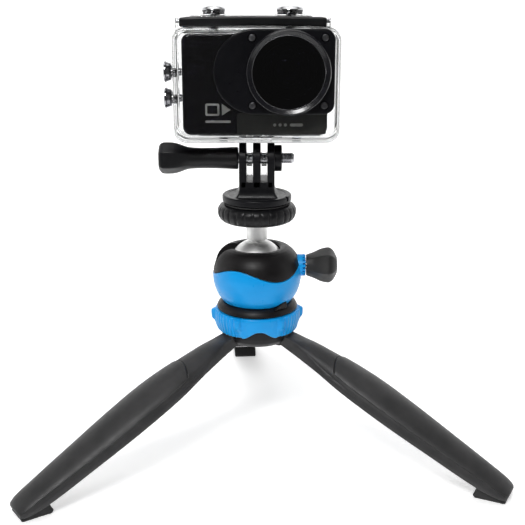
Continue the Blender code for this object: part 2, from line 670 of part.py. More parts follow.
def make_latch(root):
    """Bar across the front of the lid with two arms that press on the door's lip."""
    half_z, half_y, chamfer = 1.8, 1.9, 0.9
    corners = [(-1, -1, 0), (-1, -1, 1), (1, -1, 1), (1, -1, 0), (1, 1, 0), (1, 1, 1), (-1, 1, 1), (-1, 1, 0)]
    section = [(LATCH_Y + sy * (half_y - chamfer * flat), LATCH_Z + sz * (half_z - chamfer * (1 - flat)))
               for sy, sz, flat in corners]
    latch = prism(section, "X", LATCH_X0, LATCH_X1)
    arm_z = (CASE_Z1 + 0.8, CASE_Z1 + 2.6)
    for x0, x1 in ((LATCH_X0, LATCH_X0 + 3.4), (LATCH_X1 - 3.4, LATCH_X1)):
        weld(latch, box((x0, x1), (LATCH_Y + 1.0, 14.2), arm_z))
    weld(latch, box((LATCH_X0 + 1.0, LATCH_X1 - 1.0), (10.0, 14.2), arm_z))
    cut(latch, rod("X", LATCH_PIN_R + GAP, -40.0, 40.0, (LATCH_Y, LATCH_Z), 12))
    node("latch_lever", latch, "black_plastic", (0.0, LATCH_Y, LATCH_Z), root)
    pin = rod("X", LATCH_PIN_R, LATCH_X0 - 1.5, LATCH_X1 + 1.5, (LATCH_Y, LATCH_Z), 12)
    node("latch_pin", pin, "satin_steel", group=root)


def plate_outline(steps=12):
    """Lens port plate: round left end, straight sides, small round corners at the right."""
    left = [(PLATE_LEFT_X + PLATE_HALF * cos(t), LENS_Z + PLATE_HALF * sin(t))
            for t in (radians(90 + 180 * i / steps) for i in range(steps + 1))]
    corner = 4.4
    right = []
    for centre_z, start in ((LENS_Z - PLATE_HALF + corner, 270), (LENS_Z + PLATE_HALF - corner, 0)):
        for i in range(5):
            turn = radians(start + 90 * i / 4)
            right.append((PLATE_RIGHT - corner + corner * cos(turn), centre_z + corner * sin(turn)))
    return left + right


def make_lens_port(root):
    centre = (LENS_X, LENS_Z)
    plate = prism(plate_outline(), "Y", PLATE_Y0, CASE_Y0 - GAP)
    cut(plate, rod("Y", PORT_R, -30.0, 0.0, centre, 32))
    for x, z in PORT_SCREWS:
        cut(plate, rod("Y", 1.7, PLATE_Y0 - 1, PLATE_Y0 + 1.4, (x, z), 14),
            rod("Y", 1.1, -20.0, -10.0, (x, z), 10))
    node("port_plate", plate, "black_plastic", group=root)
    bezel = [(BEZEL_R, PLATE_Y0 - GAP), (BEZEL_R, PLATE_Y0 - 1.0), (15.4, BEZEL_Y0), (14.1, BEZEL_Y0),
             (14.1, BEZEL_Y0 + 0.6), (GLASS_R + GAP, BEZEL_Y0 + 0.6), (GLASS_R + GAP, PLATE_Y0 - GAP)]
    node("port_bezel", turned(bezel, "Y", centre, 32), "black_plastic", group=root)
    glass = rod("Y", GLASS_R, BEZEL_Y0 + 0.9, BEZEL_Y0 + 2.6, centre, 40)
    node("port_glass", glass, "port_glass", group=root)
    for number, (x, z) in enumerate(PORT_SCREWS, 1):
        profile = [(1.0, PLATE_Y0 + 0.1), (1.4, PLATE_Y0 + 0.3), (1.4, PLATE_Y0 + 1.1),
                   (0.8, PLATE_Y0 + 1.1), (0.8, -12.8)]
        screw = turned(profile, "Y", (x, z), 10, closed=False)
        node(f"port_screw_{number}", screw, "satin_steel", group=root)


# ---------------------------------------------------------------- push buttons

def coil(axis, centre, lo, hi, radius=2.5, wire=0.24, turns=2.0):
    """Compression spring, its ends a wire's radius inside lo and hi."""
    steps, sides = int(turns * 10), 4
    rings = []
    for i in range(steps + 1):
        turn = 2 * pi * turns * i / steps
        along = lo + wire + (hi - lo - 2 * wire) * i / steps
        ring = []
        for k in range(sides):
            roll = 2 * pi * k / sides
            reach = radius + wire * cos(roll)
            across = (centre[0] + reach * cos(turn), centre[1] + reach * sin(turn))
            ring.append(placed(axis, across, along + wire * sin(roll)))
        rings.append(ring)
    return loft(rings)


def make_top_buttons(root):
    low, high = TOP_CAP
    for name, (x, radius) in TOP_BUTTONS.items():
        centre = (x, TOP_BUTTON_Y)
        profile = [(STEM_R - 0.3, 187.3), (STEM_R, 187.6), (STEM_R, low), (radius - 0.3, low),
                   (radius, low + 0.4), (radius - 0.4, high - 0.9), (radius - 1.6, high - 0.1),
                   (radius - 2.6, high)]
        button = turned(profile, "Z", centre, 24, closed=False)
        node(f"{name}_button", button, "chrome", (*centre, low), root)
        spring = coil("Z", centre, BUTTON_WELL + 0.1, low - GAP)
        node(f"{name}_spring", spring, "satin_steel", group=root)
        profile = [(2.4, CAM_Z1 - 1.0), (2.4, CAM_Z1 + 0.1), (2.0, CAM_Z1 + 0.2)]
        key = turned(profile, "Z", centre, 16, closed=False)
        node(f"camera_{name}_key", key, "chrome", (*centre, CAM_Z1), root)


def make_side_buttons(root):
    outer, inner = SIDE_CAP
    for name, z in SIDE_BUTTONS.items():
        centre = (TOP_BUTTON_Y, z)
        profile = [(SIDE_CAP_R - 2.0, outer), (SIDE_CAP_R - 0.8, outer + 0.2),
                   (SIDE_CAP_R, outer + 1.0), (SIDE_CAP_R, inner - 0.9), (SIDE_CAP_R - 1.2, inner),
                   (STEM_R, inner), (STEM_R, CAM_X0 - 1.2), (STEM_R - 0.3, CAM_X0 - 0.9)]
        button = turned(profile, "X", centre, 20, closed=False)
        node(f"{name}_button", button, "chrome", (outer, *centre), root)
        spring = coil("X", centre, inner + GAP, -CASE_X - 0.2, turns=1.5)
        node(f"{name}_spring", spring, "satin_steel", group=root)
        profile = [(2.0, CAM_X0 - 0.4), (2.2, CAM_X0 - 0.2), (2.2, CAM_X0 + 1.0)]
        key = turned(profile, "X", centre, 16, closed=False)
        node(f"camera_{name}_key", key, "chrome", (CAM_X0, *centre), root)


# ---------------------------------------------------------------- camera

def camera_outline(inset=0.0):
    x = (CAM_X0 + inset, CAM_X1 - inset)
    return rounded(x, (CAM_Z0 + inset, CAM_Z1 - inset), CAM_CORNER - inset, 4)


def make_camera_shells(root):
    front = prism(camera_outline(), "Y", CAM_Y0, CAM_SPLIT)
    cut(front, prism(camera_outline(CAM_WALL), "Y", CAM_Y0 + CAM_WALL, 20.0),
        rod("Y", LENS_R + GAP, -20.0, 0.0, (LENS_X, LENS_Z), 32))
    for x, _ in TOP_BUTTONS.values():
        cut(front, rod("Z", 2.4 + GAP, 180.0, 190.0, (x, TOP_BUTTON_Y), 16))
    for z in SIDE_BUTTONS.values():
        cut(front, rod("X", 2.2 + GAP, -35.0, -27.0, (TOP_BUTTON_Y, z), 16))
    node("camera_front_shell", front, "camera_black", group=root)
    back = prism(camera_outline(), "Y", CAM_SPLIT + GAP, CAM_Y1)
    cut(back, prism(camera_outline(CAM_WALL), "Y", 0.0, CAM_Y1 - CAM_WALL),
        box((-22.3, 21.0), (0.0, 15.0), (149.5, 182.0)))
    node("camera_back_shell", back, "camera_black", group=root)
    screen = box((-22.0, 20.7), (CAM_Y1 - 2.2, CAM_Y1 - 0.2), (149.8, 181.7))
    node("rear_screen", screen, "port_glass", group=root)


def make_camera_inside(root):
    centre = (LENS_X, LENS_Z)
    barrel = [(LENS_R, LENS_Y0), (LENS_R, -4.0), (7.0, -4.0), (7.0, -2.0), (5.6, -2.0),
              (5.6, LENS_Y0 + 2.2), (8.2, LENS_Y0)]
    node("lens_barrel", turned(barrel, "Y", centre, 28), "black_plastic", group=root)
    profile = [(5.2, LENS_Y0 + 3.4), (5.3, LENS_Y0 + 2.6), (3.6, LENS_Y0 + 1.7), (1.6, LENS_Y0 + 1.3)]
    element = turned(profile, "Y", centre, 24, closed=False)
    node("lens_element", element, "port_glass", group=root)
    sensor = box((LENS_X - 4.5, LENS_X + 4.5), (-1.6, 5.8), (LENS_Z - 4.0, LENS_Z + 4.0))
    node("image_sensor", sensor, "port_glass", group=root)
    node("main_board", box((-27.6, 26.6), (6.2, 7.4), (147.8, 184.0)), "board_green", group=root)
    node("battery", box((-25.6, -4.4), (-6.6, 3.2), (CAM_Z0 + 2.2, 183.0)), "battery_grey", group=root)


# ---------------------------------------------------------------- the whole object

def stand_on_origin(root):
    """Move the object so that its box is centred over the origin, standing on z = 0."""
    bpy.context.view_layer.update()
    corners = [piece.matrix_world @ vertex.co for piece in bpy.data.objects if piece.type == "MESH"
               for vertex in piece.data.vertices]
    middle = [0.5 * (min(c[i] for c in corners) + max(c[i] for c in corners)) for i in (0, 1)]
    root.location = (-middle[0], -middle[1], 0.0)
    bpy.context.view_layer.update()


def main():
    for old in list(bpy.data.objects):
        bpy.data.objects.remove(old)
    root = bpy.data.objects.new("tripod_axis", None)
    bpy.context.collection.objects.link(root)
    make_legs(root)
    make_hub(root)
    make_leg_ring(root)
    make_ball_head(root)
    make_platform(root)
    make_adapter(root)
    make_thumbscrew(root)
    make_case_front(root)
    make_case_door(root)
    make_latch(root)
    make_lens_port(root)
    make_top_buttons(root)
    make_side_buttons(root)
    make_camera_shells(root)
    make_camera_inside(root)
    stand_on_origin(root)


main()
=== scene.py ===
"""Looks for the action camera in its clear dive housing, on a ball head with three folding legs.

Every piece is built in millimetres round the hub's vertical axis (x = y = 0, floor at z = 0, the lens
looks along -Y) from the CAD nodes' own boxes, and piece() moves it into the frame's metres.
"""

import json
from math import acos, atan2, cos, exp, pi, radians, sin, sqrt

import bmesh
import bpy
from mathutils import Matrix, Vector


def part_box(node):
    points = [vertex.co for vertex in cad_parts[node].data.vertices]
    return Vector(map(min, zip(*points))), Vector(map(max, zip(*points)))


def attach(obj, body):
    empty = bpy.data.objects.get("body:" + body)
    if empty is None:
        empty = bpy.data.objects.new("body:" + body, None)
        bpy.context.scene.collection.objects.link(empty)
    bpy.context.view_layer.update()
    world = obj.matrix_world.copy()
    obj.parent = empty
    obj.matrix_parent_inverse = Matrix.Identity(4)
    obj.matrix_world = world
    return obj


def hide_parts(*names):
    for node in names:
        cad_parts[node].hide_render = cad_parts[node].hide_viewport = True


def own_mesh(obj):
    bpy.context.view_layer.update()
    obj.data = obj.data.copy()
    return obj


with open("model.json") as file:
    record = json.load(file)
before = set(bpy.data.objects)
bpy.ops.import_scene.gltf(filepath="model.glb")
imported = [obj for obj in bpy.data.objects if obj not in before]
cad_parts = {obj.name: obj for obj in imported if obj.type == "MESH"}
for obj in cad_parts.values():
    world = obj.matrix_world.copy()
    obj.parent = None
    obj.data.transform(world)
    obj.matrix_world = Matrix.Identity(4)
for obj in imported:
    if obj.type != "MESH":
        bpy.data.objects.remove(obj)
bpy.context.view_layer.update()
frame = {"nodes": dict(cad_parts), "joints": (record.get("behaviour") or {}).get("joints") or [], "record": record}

MM = 0.001
RECORD = frame["record"]
BODY_OF = {n: body for body, nodes in RECORD["behaviour"]["bodies"].items() for n in nodes}
JOINTS = {j["name"]: j for j in frame["joints"]}
CORE = (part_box("hub_body")[0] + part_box("hub_body")[1]) / 2
AXIS = Vector((CORE.x, CORE.y, 0.0))   # the hub's vertical axis, in metres


def span(node_name):
    """The node's box as (low, high) along X, Y and Z, in millimetres from the hub's axis."""
    low, high = (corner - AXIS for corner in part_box(node_name))
    return [(low[i] / MM, high[i] / MM) for i in range(3)]


def middle(pair):
    return 0.5 * (pair[0] + pair[1])


def facing_centre(node_name):
    """Centre (x, z) of a node that looks along Y."""
    x, _, z = span(node_name)
    return middle(x), middle(z)


def joint_point(name):
    """A joint's place in millimetres from the hub's axis."""
    return (Vector(JOINTS[name]["pos_m"]) - AXIS) / MM


# ---- materials

def new_material(name):
    made = bpy.data.materials.new(name)
    made.use_nodes = True
    tree = made.node_tree
    return made, tree, tree.nodes["Principled BSDF"]


def feed(tree, node, **inputs):
    """Give a node's inputs values or other nodes' outputs; Base_Color stands for "Base Color"."""
    for name, value in inputs.items():
        socket = node.inputs[name.replace("_", " ")]
        if isinstance(value, bpy.types.NodeSocket):
            tree.links.new(value, socket)
        else:
            socket.default_value = value
    return node


def noise(tree, size_mm, detail=3.0, stretch=(1.0, 1.0, 1.0)):
    """Noise with features of about that size, fixed to the piece."""
    place = tree.nodes.new("ShaderNodeTexCoord").outputs["Object"]
    scale = [s / (size_mm * MM) for s in stretch]
    mapping = feed(tree, tree.nodes.new("ShaderNodeMapping"), Scale=scale, Vector=place)
    made = feed(tree, tree.nodes.new("ShaderNodeTexNoise"), Scale=1.0, Detail=detail,
                Vector=mapping.outputs["Vector"])
    return made.outputs["Fac"]


def ranged(tree, value, low, high, source=(0.3, 0.7)):
    """The value spread between low and high."""
    made = feed(tree, tree.nodes.new("ShaderNodeMapRange"), From_Min=source[0], From_Max=source[1],
                To_Min=low, To_Max=high, Value=value)
    return made.outputs["Result"]


def mixed(tree, factor, first, second):
    """Colour from first to second; each is a colour or another node's output."""
    made = tree.nodes.new("ShaderNodeMix")
    made.data_type = "RGBA"
    tree.links.new(factor, made.inputs["Factor"])
    for socket, colour in (("A", first), ("B", second)):
        target = next(s for s in made.inputs if s.name == socket and s.type == "RGBA")
        if isinstance(colour, tuple):
            target.default_value = (*colour, 1.0)
        else:
            tree.links.new(colour, target)
    return next(s for s in made.outputs if s.type == "RGBA")


def bumped(tree, shader, *layers):
    """Bump layers of (height, depth in millimetres), finest last."""
    below = None
    for height, depth in layers:
        made = feed(tree, tree.nodes.new("ShaderNodeBump"), Distance=depth * MM, Height=height)
        if below:
            feed(tree, made, Normal=below)
        below = made.outputs["Normal"]
    feed(tree, shader, Normal=below)


def edge_wear_and_sheen(tree, strength):
    """Rises on sharp convex edges, broken up by noise: edge wear on most plastics, a painted sheen on the azure.
    """
    geometry = tree.nodes.new("ShaderNodeNewGeometry")
    edges = ranged(tree, geometry.outputs["Pointiness"], 0.0, strength, (0.53, 0.62))
    made = tree.nodes.new("ShaderNodeMath")
    made.operation = "MULTIPLY"
    tree.links.new(edges, made.inputs[0])
    tree.links.new(ranged(tree, noise(tree, 1.6), 0.3, 1.0), made.inputs[1])
    return made.outputs[0]


def moulded(name, dark, light, roughness, grain_mm, grain_depth, wear_and_sheen, specular=0.5, coat=0.0,
            wear_and_sheen_colour=None):
    """Moulded plastic: two near tones, an uneven gloss, a fine grain and paler edges (edge wear, and a painted
    sheen on the azure).
    """
    made, tree, shader = new_material(name)
    tone = mixed(tree, ranged(tree, noise(tree, 9.0), 0.0, 1.0), dark, light)
    wear_and_sheen_colour = wear_and_sheen_colour or tuple(min(1.0, 2.2 * c + 0.03) for c in light)
    gloss = ranged(tree, noise(tree, 2.4, 4.0), roughness - 0.05, roughness + 0.06)
    feed(tree, shader, Base_Color=mixed(tree, edge_wear_and_sheen(tree, wear_and_sheen), tone, wear_and_sheen_colour), Roughness=gloss,
         Specular_IOR_Level=specular, Coat_Weight=coat, Coat_Roughness=0.06)
    bumped(tree, shader, (noise(tree, 4.0, 2.0), 0.02), (noise(tree, grain_mm, 2.0), grain_depth))
    return made


def turned_metal(name, dark, light, roughness, axis="Z"):
    """Lathe-turned metal: fine rings round its axis."""
    made, tree, shader = new_material(name)
    stretch = [0.02 if a != axis else 1.0 for a in "XYZ"]
    rings = noise(tree, 0.12, 3.0, stretch)
    tone = mixed(tree, ranged(tree, noise(tree, 3.0), 0.0, 1.0), dark, light)
    gloss = ranged(tree, rings, roughness - 0.06, roughness + 0.08)
    feed(tree, shader, Base_Color=tone, Roughness=gloss, Metallic=1.0)
    bumped(tree, shader, (rings, 0.004))
    return made


def clear(name, colour, roughness, ior=1.5, transmission=1.0, specular=0.5, haze=0.02):
    """Clear plastic or glass with faint smears."""
    made, tree, shader = new_material(name)
    smears = ranged(tree, noise(tree, 6.0, 4.0), roughness, roughness + haze)
    pale = tuple(0.93 * c for c in colour)
    tone = mixed(tree, ranged(tree, noise(tree, 14.0), 0.0, 1.0), pale, colour)
    feed(tree, shader, Roughness=smears, Base_Color=tone, IOR=ior, Transmission_Weight=transmission,
         Specular_IOR_Level=specular)
    return made


def grey(value):
    return value, value, value


def circuit_board():
    """Green solder mask with a faint grid of paler tracks."""
    made, tree, shader = new_material("board")
    place = tree.nodes.new("ShaderNodeTexCoord").outputs["Object"]
    tracks = feed(tree, tree.nodes.new("ShaderNodeTexBrick"), Scale=1.0 / (6.0 * MM), Mortar_Size=0.03,
                  Color1=(0.01, 0.10, 0.05, 1.0), Color2=(0.02, 0.13, 0.06, 1.0),
                  Mortar=(0.10, 0.24, 0.10, 1.0), Vector=place)
    feed(tree, shader, Base_Color=tracks.outputs["Color"],
         Roughness=ranged(tree, noise(tree, 2.0), 0.35, 0.5))
    return made


LEG_GREY = moulded("leg_grey", (0.024, 0.024, 0.0245), (0.038, 0.037, 0.038), 0.46, 0.30, 0.012, 0.20,
                   0.35, wear_and_sheen_colour=grey(0.12))
RUBBER = moulded("rubber", (0.024, 0.024, 0.025), grey(0.036), 0.75, 0.22, 0.020, 0.12, 0.3)
BLACK = moulded("black_nylon", (0.0045, 0.0045, 0.0055), (0.008, 0.008, 0.009), 0.38, 0.45, 0.004,
                0.08, 0.3)
DISC_BLACK = moulded("black_mount", (0.0035, 0.0035, 0.005), (0.006, 0.006, 0.0075), 0.36, 0.5, 0.004,
                     0.08, 0.25)
DOME = moulded("dome_black", (0.005, 0.0042, 0.0046), (0.008, 0.007, 0.0075), 0.42, 0.30, 0.006, 0.06,
               0.25)
KNOB = moulded("knob_black", grey(0.014), grey(0.022), 0.42, 0.25, 0.010, 0.25, 0.4, wear_and_sheen_colour=grey(0.10))
# The azure's paler cyan edge colour is a painted sheen: a painted highlight of the backdrop's reflection along its
# edges.
AZURE = moulded("azure", (0.002, 0.315, 0.770), (0.004, 0.345, 0.820), 0.32, 0.5, 0.002, 0.03, 0.3,
                wear_and_sheen_colour=(0.12, 0.50, 0.90))
CAMERA = moulded("camera_gloss", (0.0030, 0.0026, 0.0050), (0.0045, 0.0040, 0.0075), 0.20, 0.8, 0.001,
                 0.02, 0.2)
CAMERA_MATTE = moulded("camera_matte", (0.020, 0.020, 0.0185), (0.027, 0.027, 0.025), 0.55, 0.3, 0.004,
                       0.04, 0.3)
PORT = moulded("port_black", (0.003, 0.003, 0.0042), (0.0048, 0.0048, 0.0065), 0.32, 0.4, 0.002, 0.04,
               0.2)
BEZEL = moulded("bezel_black", (0.003, 0.003, 0.0045), (0.005, 0.005, 0.0075), 0.22, 0.25, 0.002, 0.10,
                0.5, 0.2, (0.05, 0.05, 0.07))
MARK = moulded("pale_ink", (0.30, 0.30, 0.29), (0.42, 0.42, 0.40), 0.45, 0.3, 0.003, 0.0)
NYLON = moulded("white_nylon", (0.62, 0.62, 0.60), (0.76, 0.76, 0.74), 0.45, 0.4, 0.006, 0.05,
                wear_and_sheen_colour=(0.85, 0.85, 0.84))
BATTERY = moulded("battery_wrap", (0.13, 0.135, 0.15), (0.17, 0.175, 0.19), 0.42, 0.6, 0.006, 0.05)
SATIN = turned_metal("satin_silver", (0.76, 0.76, 0.755), (0.88, 0.88, 0.87), 0.42)
STEEL_X = turned_metal("steel_x", (0.42, 0.42, 0.44), (0.58, 0.58, 0.60), 0.24, "X")
STEEL_Y = turned_metal("steel_y", (0.16, 0.16, 0.17), (0.26, 0.26, 0.27), 0.34, "Y")
CHROME_Z = turned_metal("chrome_z", (0.62, 0.62, 0.64), (0.76, 0.76, 0.77), 0.10)
CHROME_X = turned_metal("chrome_x", (0.34, 0.34, 0.36), (0.48, 0.48, 0.50), 0.14, "X")
BRASS = turned_metal("brass", (0.66, 0.45, 0.16), (0.78, 0.58, 0.26), 0.28)
CLEAR = clear("clear_housing", (0.980, 0.985, 0.985), 0.02, 1.33, 1.0, 0.4, 0.04)
GLASS = clear("port_glass", (0.08, 0.08, 0.10), 0.0, 1.45, 1.0, 0.5, 0.02)
LENS = clear("lens_glass", (0.25, 0.22, 0.34), 0.01, 1.6, 0.8)
SCREEN = clear("screen_glass", (0.010, 0.010, 0.014), 0.05, 1.5, 0.1)
BOARD = circuit_board()


# ---- shapes

def skin(rings, closed=False):
    """Skin between rings of equally many points; closed joins the last ring to the first."""
    shape = bmesh.new()
    loops = [[shape.verts.new(p) for p in ring] for ring in rings]
    pairs = list(zip(loops, loops[1:]))
    if closed:
        pairs.append((loops[-1], loops[0]))
    for low, high in pairs:
        for i in range(len(low)):
            j = (i + 1) % len(low)
            shape.faces.new((low[i], low[j], high[j], high[i]))
    if not closed:
        shape.faces.new(loops[0])
        shape.faces.new(loops[-1])
    bmesh.ops.recalc_face_normals(shape, faces=shape.faces)
    return shape


def placed(axis, across, along):
    """A point from two coordinates across an axis and one along it."""
    a, b = across
    return {"X": (along, a, b), "Y": (a, along, b), "Z": (a, b, along)}[axis]


def circle(radius, segments, centre=(0.0, 0.0)):
    turns = [2 * pi * i / segments for i in range(segments)]
    return [(centre[0] + radius * cos(t), centre[1] + radius * sin(t)) for t in turns]


def rounded(x, z, radius, steps=10):
    """A rectangle with round corners."""
    (left, right), (low, high) = ((a + radius, b - radius) for a, b in (x, z))
    corners = [(right, high, 0), (left, high, 90), (left, low, 180), (right, low, 270)]
    points = []
    for cx, cz, start in corners:
        for i in range(steps + 1):
            turn = radians(start + 90 * i / steps)
            points.append((cx + radius * cos(turn), cz + radius * sin(turn)))
    return points


def softened(points, radius, steps=4, closed=True):
    """The same outline with each corner turned into a small curve."""
    made = []
    for i, point in enumerate(points):
        if not closed and i in (0, len(points) - 1):
            made.append(tuple(point))
            continue
        corner = Vector(point)
        back = Vector(points[i - 1]) - corner
        on = Vector(points[(i + 1) % len(points)]) - corner
        start = corner + back.normalized() * min(radius, 0.45 * back.length)
        end = corner + on.normalized() * min(radius, 0.45 * on.length)
        for k in range(steps + 1):
            t = k / steps
            made.append(tuple((1 - t) ** 2 * start + 2 * t * (1 - t) * corner + t * t * end))
    return made


def inset(outline, distance):
    """The outline moved inward by a distance."""
    area = sum(a[0] * b[1] - b[0] * a[1] for a, b in zip(outline, outline[1:] + outline[:1]))
    side = 1.0 if area > 0 else -1.0
    made = []
    for i, point in enumerate(outline):
        back = (Vector(point) - Vector(outline[i - 1])).normalized()
        on = (Vector(outline[(i + 1) % len(outline)]) - Vector(point)).normalized()
        normal = Vector((-(back.y + on.y), back.x + on.x)) * side
        turn = max(0.5, 0.5 * (1 + back.dot(on)))
        made.append(tuple(Vector(point) + normal.normalized() * distance / sqrt(turn)))
    return made


def quarter(steps):
    """Pairs (inset, advance) along a quarter circle of radius 1, from the face to the side."""
    turns = [0.5 * pi * i / steps for i in range(steps + 1)]
    return [(1 - sin(t), 1 - cos(t)) for t in turns]


def pillow(outline, axis, lo, hi, edge=0.3, steps=3):
    """An outline pushed along an axis, with both rims rounded."""
    rims = quarter(steps)
    levels = [(edge * i, lo + edge * a) for i, a in rims]
    levels += [(edge * i, hi - edge * a) for i, a in reversed(rims)]
    return skin([[placed(axis, p, t) for p in inset(outline, i)] for i, t in levels])


def brick(x, y, z, edge=0.3, corner=0.6):
    """A box along Z with round corners and rims."""
    return pillow(rounded(x, y, corner, 5), "Z", *z, edge)


def rod(axis, radius, lo, hi, centre=(0.0, 0.0), segments=64, edge=0.15):
    return pillow(circle(radius, segments, centre), axis, lo, hi, edge, 2)


def turned(profile, axis="Z", centre=(0.0, 0.0), segments=96, closed=True, soft=0.3):
    """A profile of (radius, place along the axis) turned about the axis, its corners softened."""
    outline = softened(profile, soft, 4, closed) if soft else profile
    rings = [[placed(axis, p, along) for p in circle(radius, segments, centre)]
             for radius, along in outline]
    return skin(rings, closed)


def lathe(profile, axis="Z", centre=(0.0, 0.0), segments=48, soft=0.1):
    """A solid turned about an axis; its profile is open, and flat faces close both ends."""
    return turned(profile, axis, centre, segments, False, soft)


def direction(azimuth):
    """Unit vector for an azimuth in degrees, counted from -Y towards +X."""
    return sin(radians(azimuth)), -cos(radians(azimuth))


def around(profile_at, steps, soft=0.35):
    """A ring whose profile of (radius, height) changes with the azimuth."""
    rings = []
    for i in range(steps):
        azimuth = 360.0 * i / steps
        x, y = direction(azimuth)
        rings.append([(r * x, r * y, z) for r, z in softened(profile_at(azimuth), soft, 3)])
    return skin(rings, closed=True)


def curve(table, at, column):
    """Smooth reading of a column of a table of stations, whose first column is the place."""
    places = [row[0] for row in table]
    i = max(k for k in range(len(table) - 1) if places[k] <= at or k == 0)
    p = [table[max(0, min(len(table) - 1, i + k))] for k in (-1, 0, 1, 2)]
    width = p[2][0] - p[1][0]
    t = (at - p[1][0]) / width
    slope_a = (p[2][column] - p[0][column]) / (p[2][0] - p[0][0]) * width
    slope_b = (p[3][column] - p[1][column]) / (p[3][0] - p[1][0]) * width
    return ((2 * t ** 3 - 3 * t ** 2 + 1) * p[1][column] + (t ** 3 - 2 * t ** 2 + t) * slope_a
            + (3 * t ** 2 - 2 * t ** 3) * p[2][column] + (t ** 3 - t ** 2) * slope_b)


def ramp(value):
    """0 below 0, 1 above 1, smooth between."""
    t = max(0.0, min(1.0, value))
    return t * t * (3 - 2 * t)


def together(*shapes):
    """Several shapes as one, each keeping its own skin."""
    made = bmesh.new()
    for shape in shapes:
        mesh = as_mesh("part", shape)
        made.from_mesh(mesh)
        bpy.data.meshes.remove(mesh)
    return made


def linked(name, data):
    """A new object with that data, in the scene."""
    made = bpy.data.objects.new(name, data)
    bpy.context.scene.collection.objects.link(made)
    return made


def as_mesh(name, shape):
    """The shape as a mesh; the shape is used up."""
    mesh = bpy.data.meshes.new(name)
    shape.to_mesh(mesh)
    shape.free()
    return mesh


def carved(shape, *tools):
    """The shape with the tools cut out of it; the shape and the tools are used up."""
    target, *cutters = (linked("scratch", as_mesh("scratch", s)) for s in (shape, *tools))
    for cutter in cutters:
        step = target.modifiers.new("carve", "BOOLEAN")
        step.operation = "DIFFERENCE"
        step.solver = "EXACT"
        step.object = cutter
    done = target.evaluated_get(bpy.context.evaluated_depsgraph_get())
    made = bmesh.new()
    made.from_mesh(done.to_mesh())
    for used in (target, *cutters):
        bpy.data.objects.remove(used)
    return made


def piece(name, shape, paint, like, stands_for=(), sharp=35.0, flat=True):
    """Makes the shape an object with its paint that rides on the body of the CAD node `like`."""
    shape.transform(Matrix.Translation(AXIS) @ Matrix.Scale(MM, 4))
    bmesh.ops.recalc_face_normals(shape, faces=shape.faces)
    mesh = as_mesh(name, shape)
    mesh.shade_smooth()
    mesh.set_sharp_from_angle(angle=radians(sharp))
    made = linked(name, mesh)
    mesh.materials.append(paint)
    if flat:
        weights = made.modifiers.new("even_shading", "WEIGHTED_NORMAL")
        weights.keep_sharp = True
    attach(made, BODY_OF[like])
    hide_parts(*stands_for)
    return made


def stand_in(name, shape, paint, node_name, **looks):
    """A piece that replaces one CAD node."""
    return piece(name, shape, paint, node_name, (node_name,), **looks)


# ---- legs and feet

TOE_REACH = 118.0              # toe to hub axis
TOE_HEIGHT = 4.0
LEG = [                        # along the leg, half width, underside, foot and height of the arch
    (2.4, 4.2, -2.6, 2.1, 0.5),
    (7.0, 4.4, -2.7, 2.8, 0.6),
    (14.0, 6.2, -2.0, 2.3, 2.8),
    (24.0, 8.4, -1.5, 1.0, 5.1),
    (36.0, 10.4, -1.8, 0.4, 6.3),
    (48.0, 11.2, -2.1, 0.0, 6.8),
    (64.0, 11.0, -2.7, -0.7, 6.7),
    (82.0, 9.9, -3.4, -1.3, 6.0),
    (104.0, 8.3, -4.2, -1.7, 4.6),
    (114.0, 7.4, -3.4, -1.7, 3.4),
    (117.6, 6.0, -3.0, -1.8, 2.4),
]
LEG_START, LEG_END = LEG[0][0], LEG[-1][0]
SEAM = 28.5                    # where the raised panel starts
SEAM_BULGE = 4.0
PANEL_EDGE = 66.0              # the panel's sides, degrees down the arch from its crest
PANEL_LIFT = 0.4
SEAM_DEPTH, SEAM_WIDTH = 0.35, 0.30
LEG_WALL = 1.4
HOLLOW_START, HOLLOW_END = 16.0, 101.0   # of the leg's underside
KNUCKLE_R, KNUCKLE_HALF = 4.0, 4.2
FOOT_HEEL, FOOT_TOE = 106.0, 117.4
FOOT_HALF = 5.8
TREAD_PITCH = 2.5
RIB_PLACES = (30.0, 48.0, 66.0, 84.0)   # cross ribs inside the leg's hollow


def leg_places():
    """Stations along the leg, closer together at the seam and at both ends."""
    places = [LEG_START + 1.2 * i for i in range(97)]
    places += [SEAM + 0.12 * i for i in range(-8, 9)]
    places += [LEG_END - 0.25 * i for i in range(5)] + [14.0 + 0.3 * i for i in range(5)]
    return sorted(p for p in set(places) if p <= LEG_END)


def leg_ring(place):
    """Outline across the leg: hollow underside, soft edges, raised panel on an arched top."""
    half, under, edge, crown = (curve(LEG, place, c) for c in (1, 2, 3, 4))
    tail = max(0.0, place - (LEG_END - 1.0))
    half -= 0.5 * tail ** 2
    edge -= 0.4 * tail ** 2
    near = exp(-((place - SEAM) / 9.0) ** 2)
    top = []
    for i in range(61):
        turn = radians(-84 + 2.8 * i)
        spread = sin(turn)
        bow = SEAM_BULGE * (spread ** 2 - 0.35) * near
        inside = radians(PANEL_EDGE) - abs(turn)
        rise = ramp(inside / 0.06 + 0.5) * ramp((place - SEAM) / SEAM_WIDTH + 0.5)
        groove = SEAM_DEPTH * exp(-((place - SEAM + 0.1) / SEAM_WIDTH) ** 2) * ramp(inside / 0.08)
        lift = PANEL_LIFT * (rise - 1.0) - groove
        top.append((place + bow, spread * (half + lift), edge + (crown + lift) * cos(turn)))
    hollow = ramp((place - HOLLOW_START) / 2.0) * ramp((HOLLOW_END - place) / 1.5)
    depth = hollow * (edge - under + 0.45 * crown)
    wall = half - LEG_WALL
    side = [(half, edge - 0.3), (half, under + 0.5), (half - 0.2, under + 0.15), (half - 0.6, under)]
    floor = [(wall, under), (wall - 0.4, under + 0.6 * depth), (0.5 * wall, under + depth)]
    right = [(place, y, n) for y, n in side + floor]
    left = [(place, -y, n) for y, n in reversed(side + floor)]
    return top + right + left


def leg_slope(hinge):
    """How far below level a leg runs from its hinge to its toe, in radians."""
    return atan2(hinge.z - TOE_HEIGHT, TOE_REACH - Vector((hinge.x, hinge.y)).length)


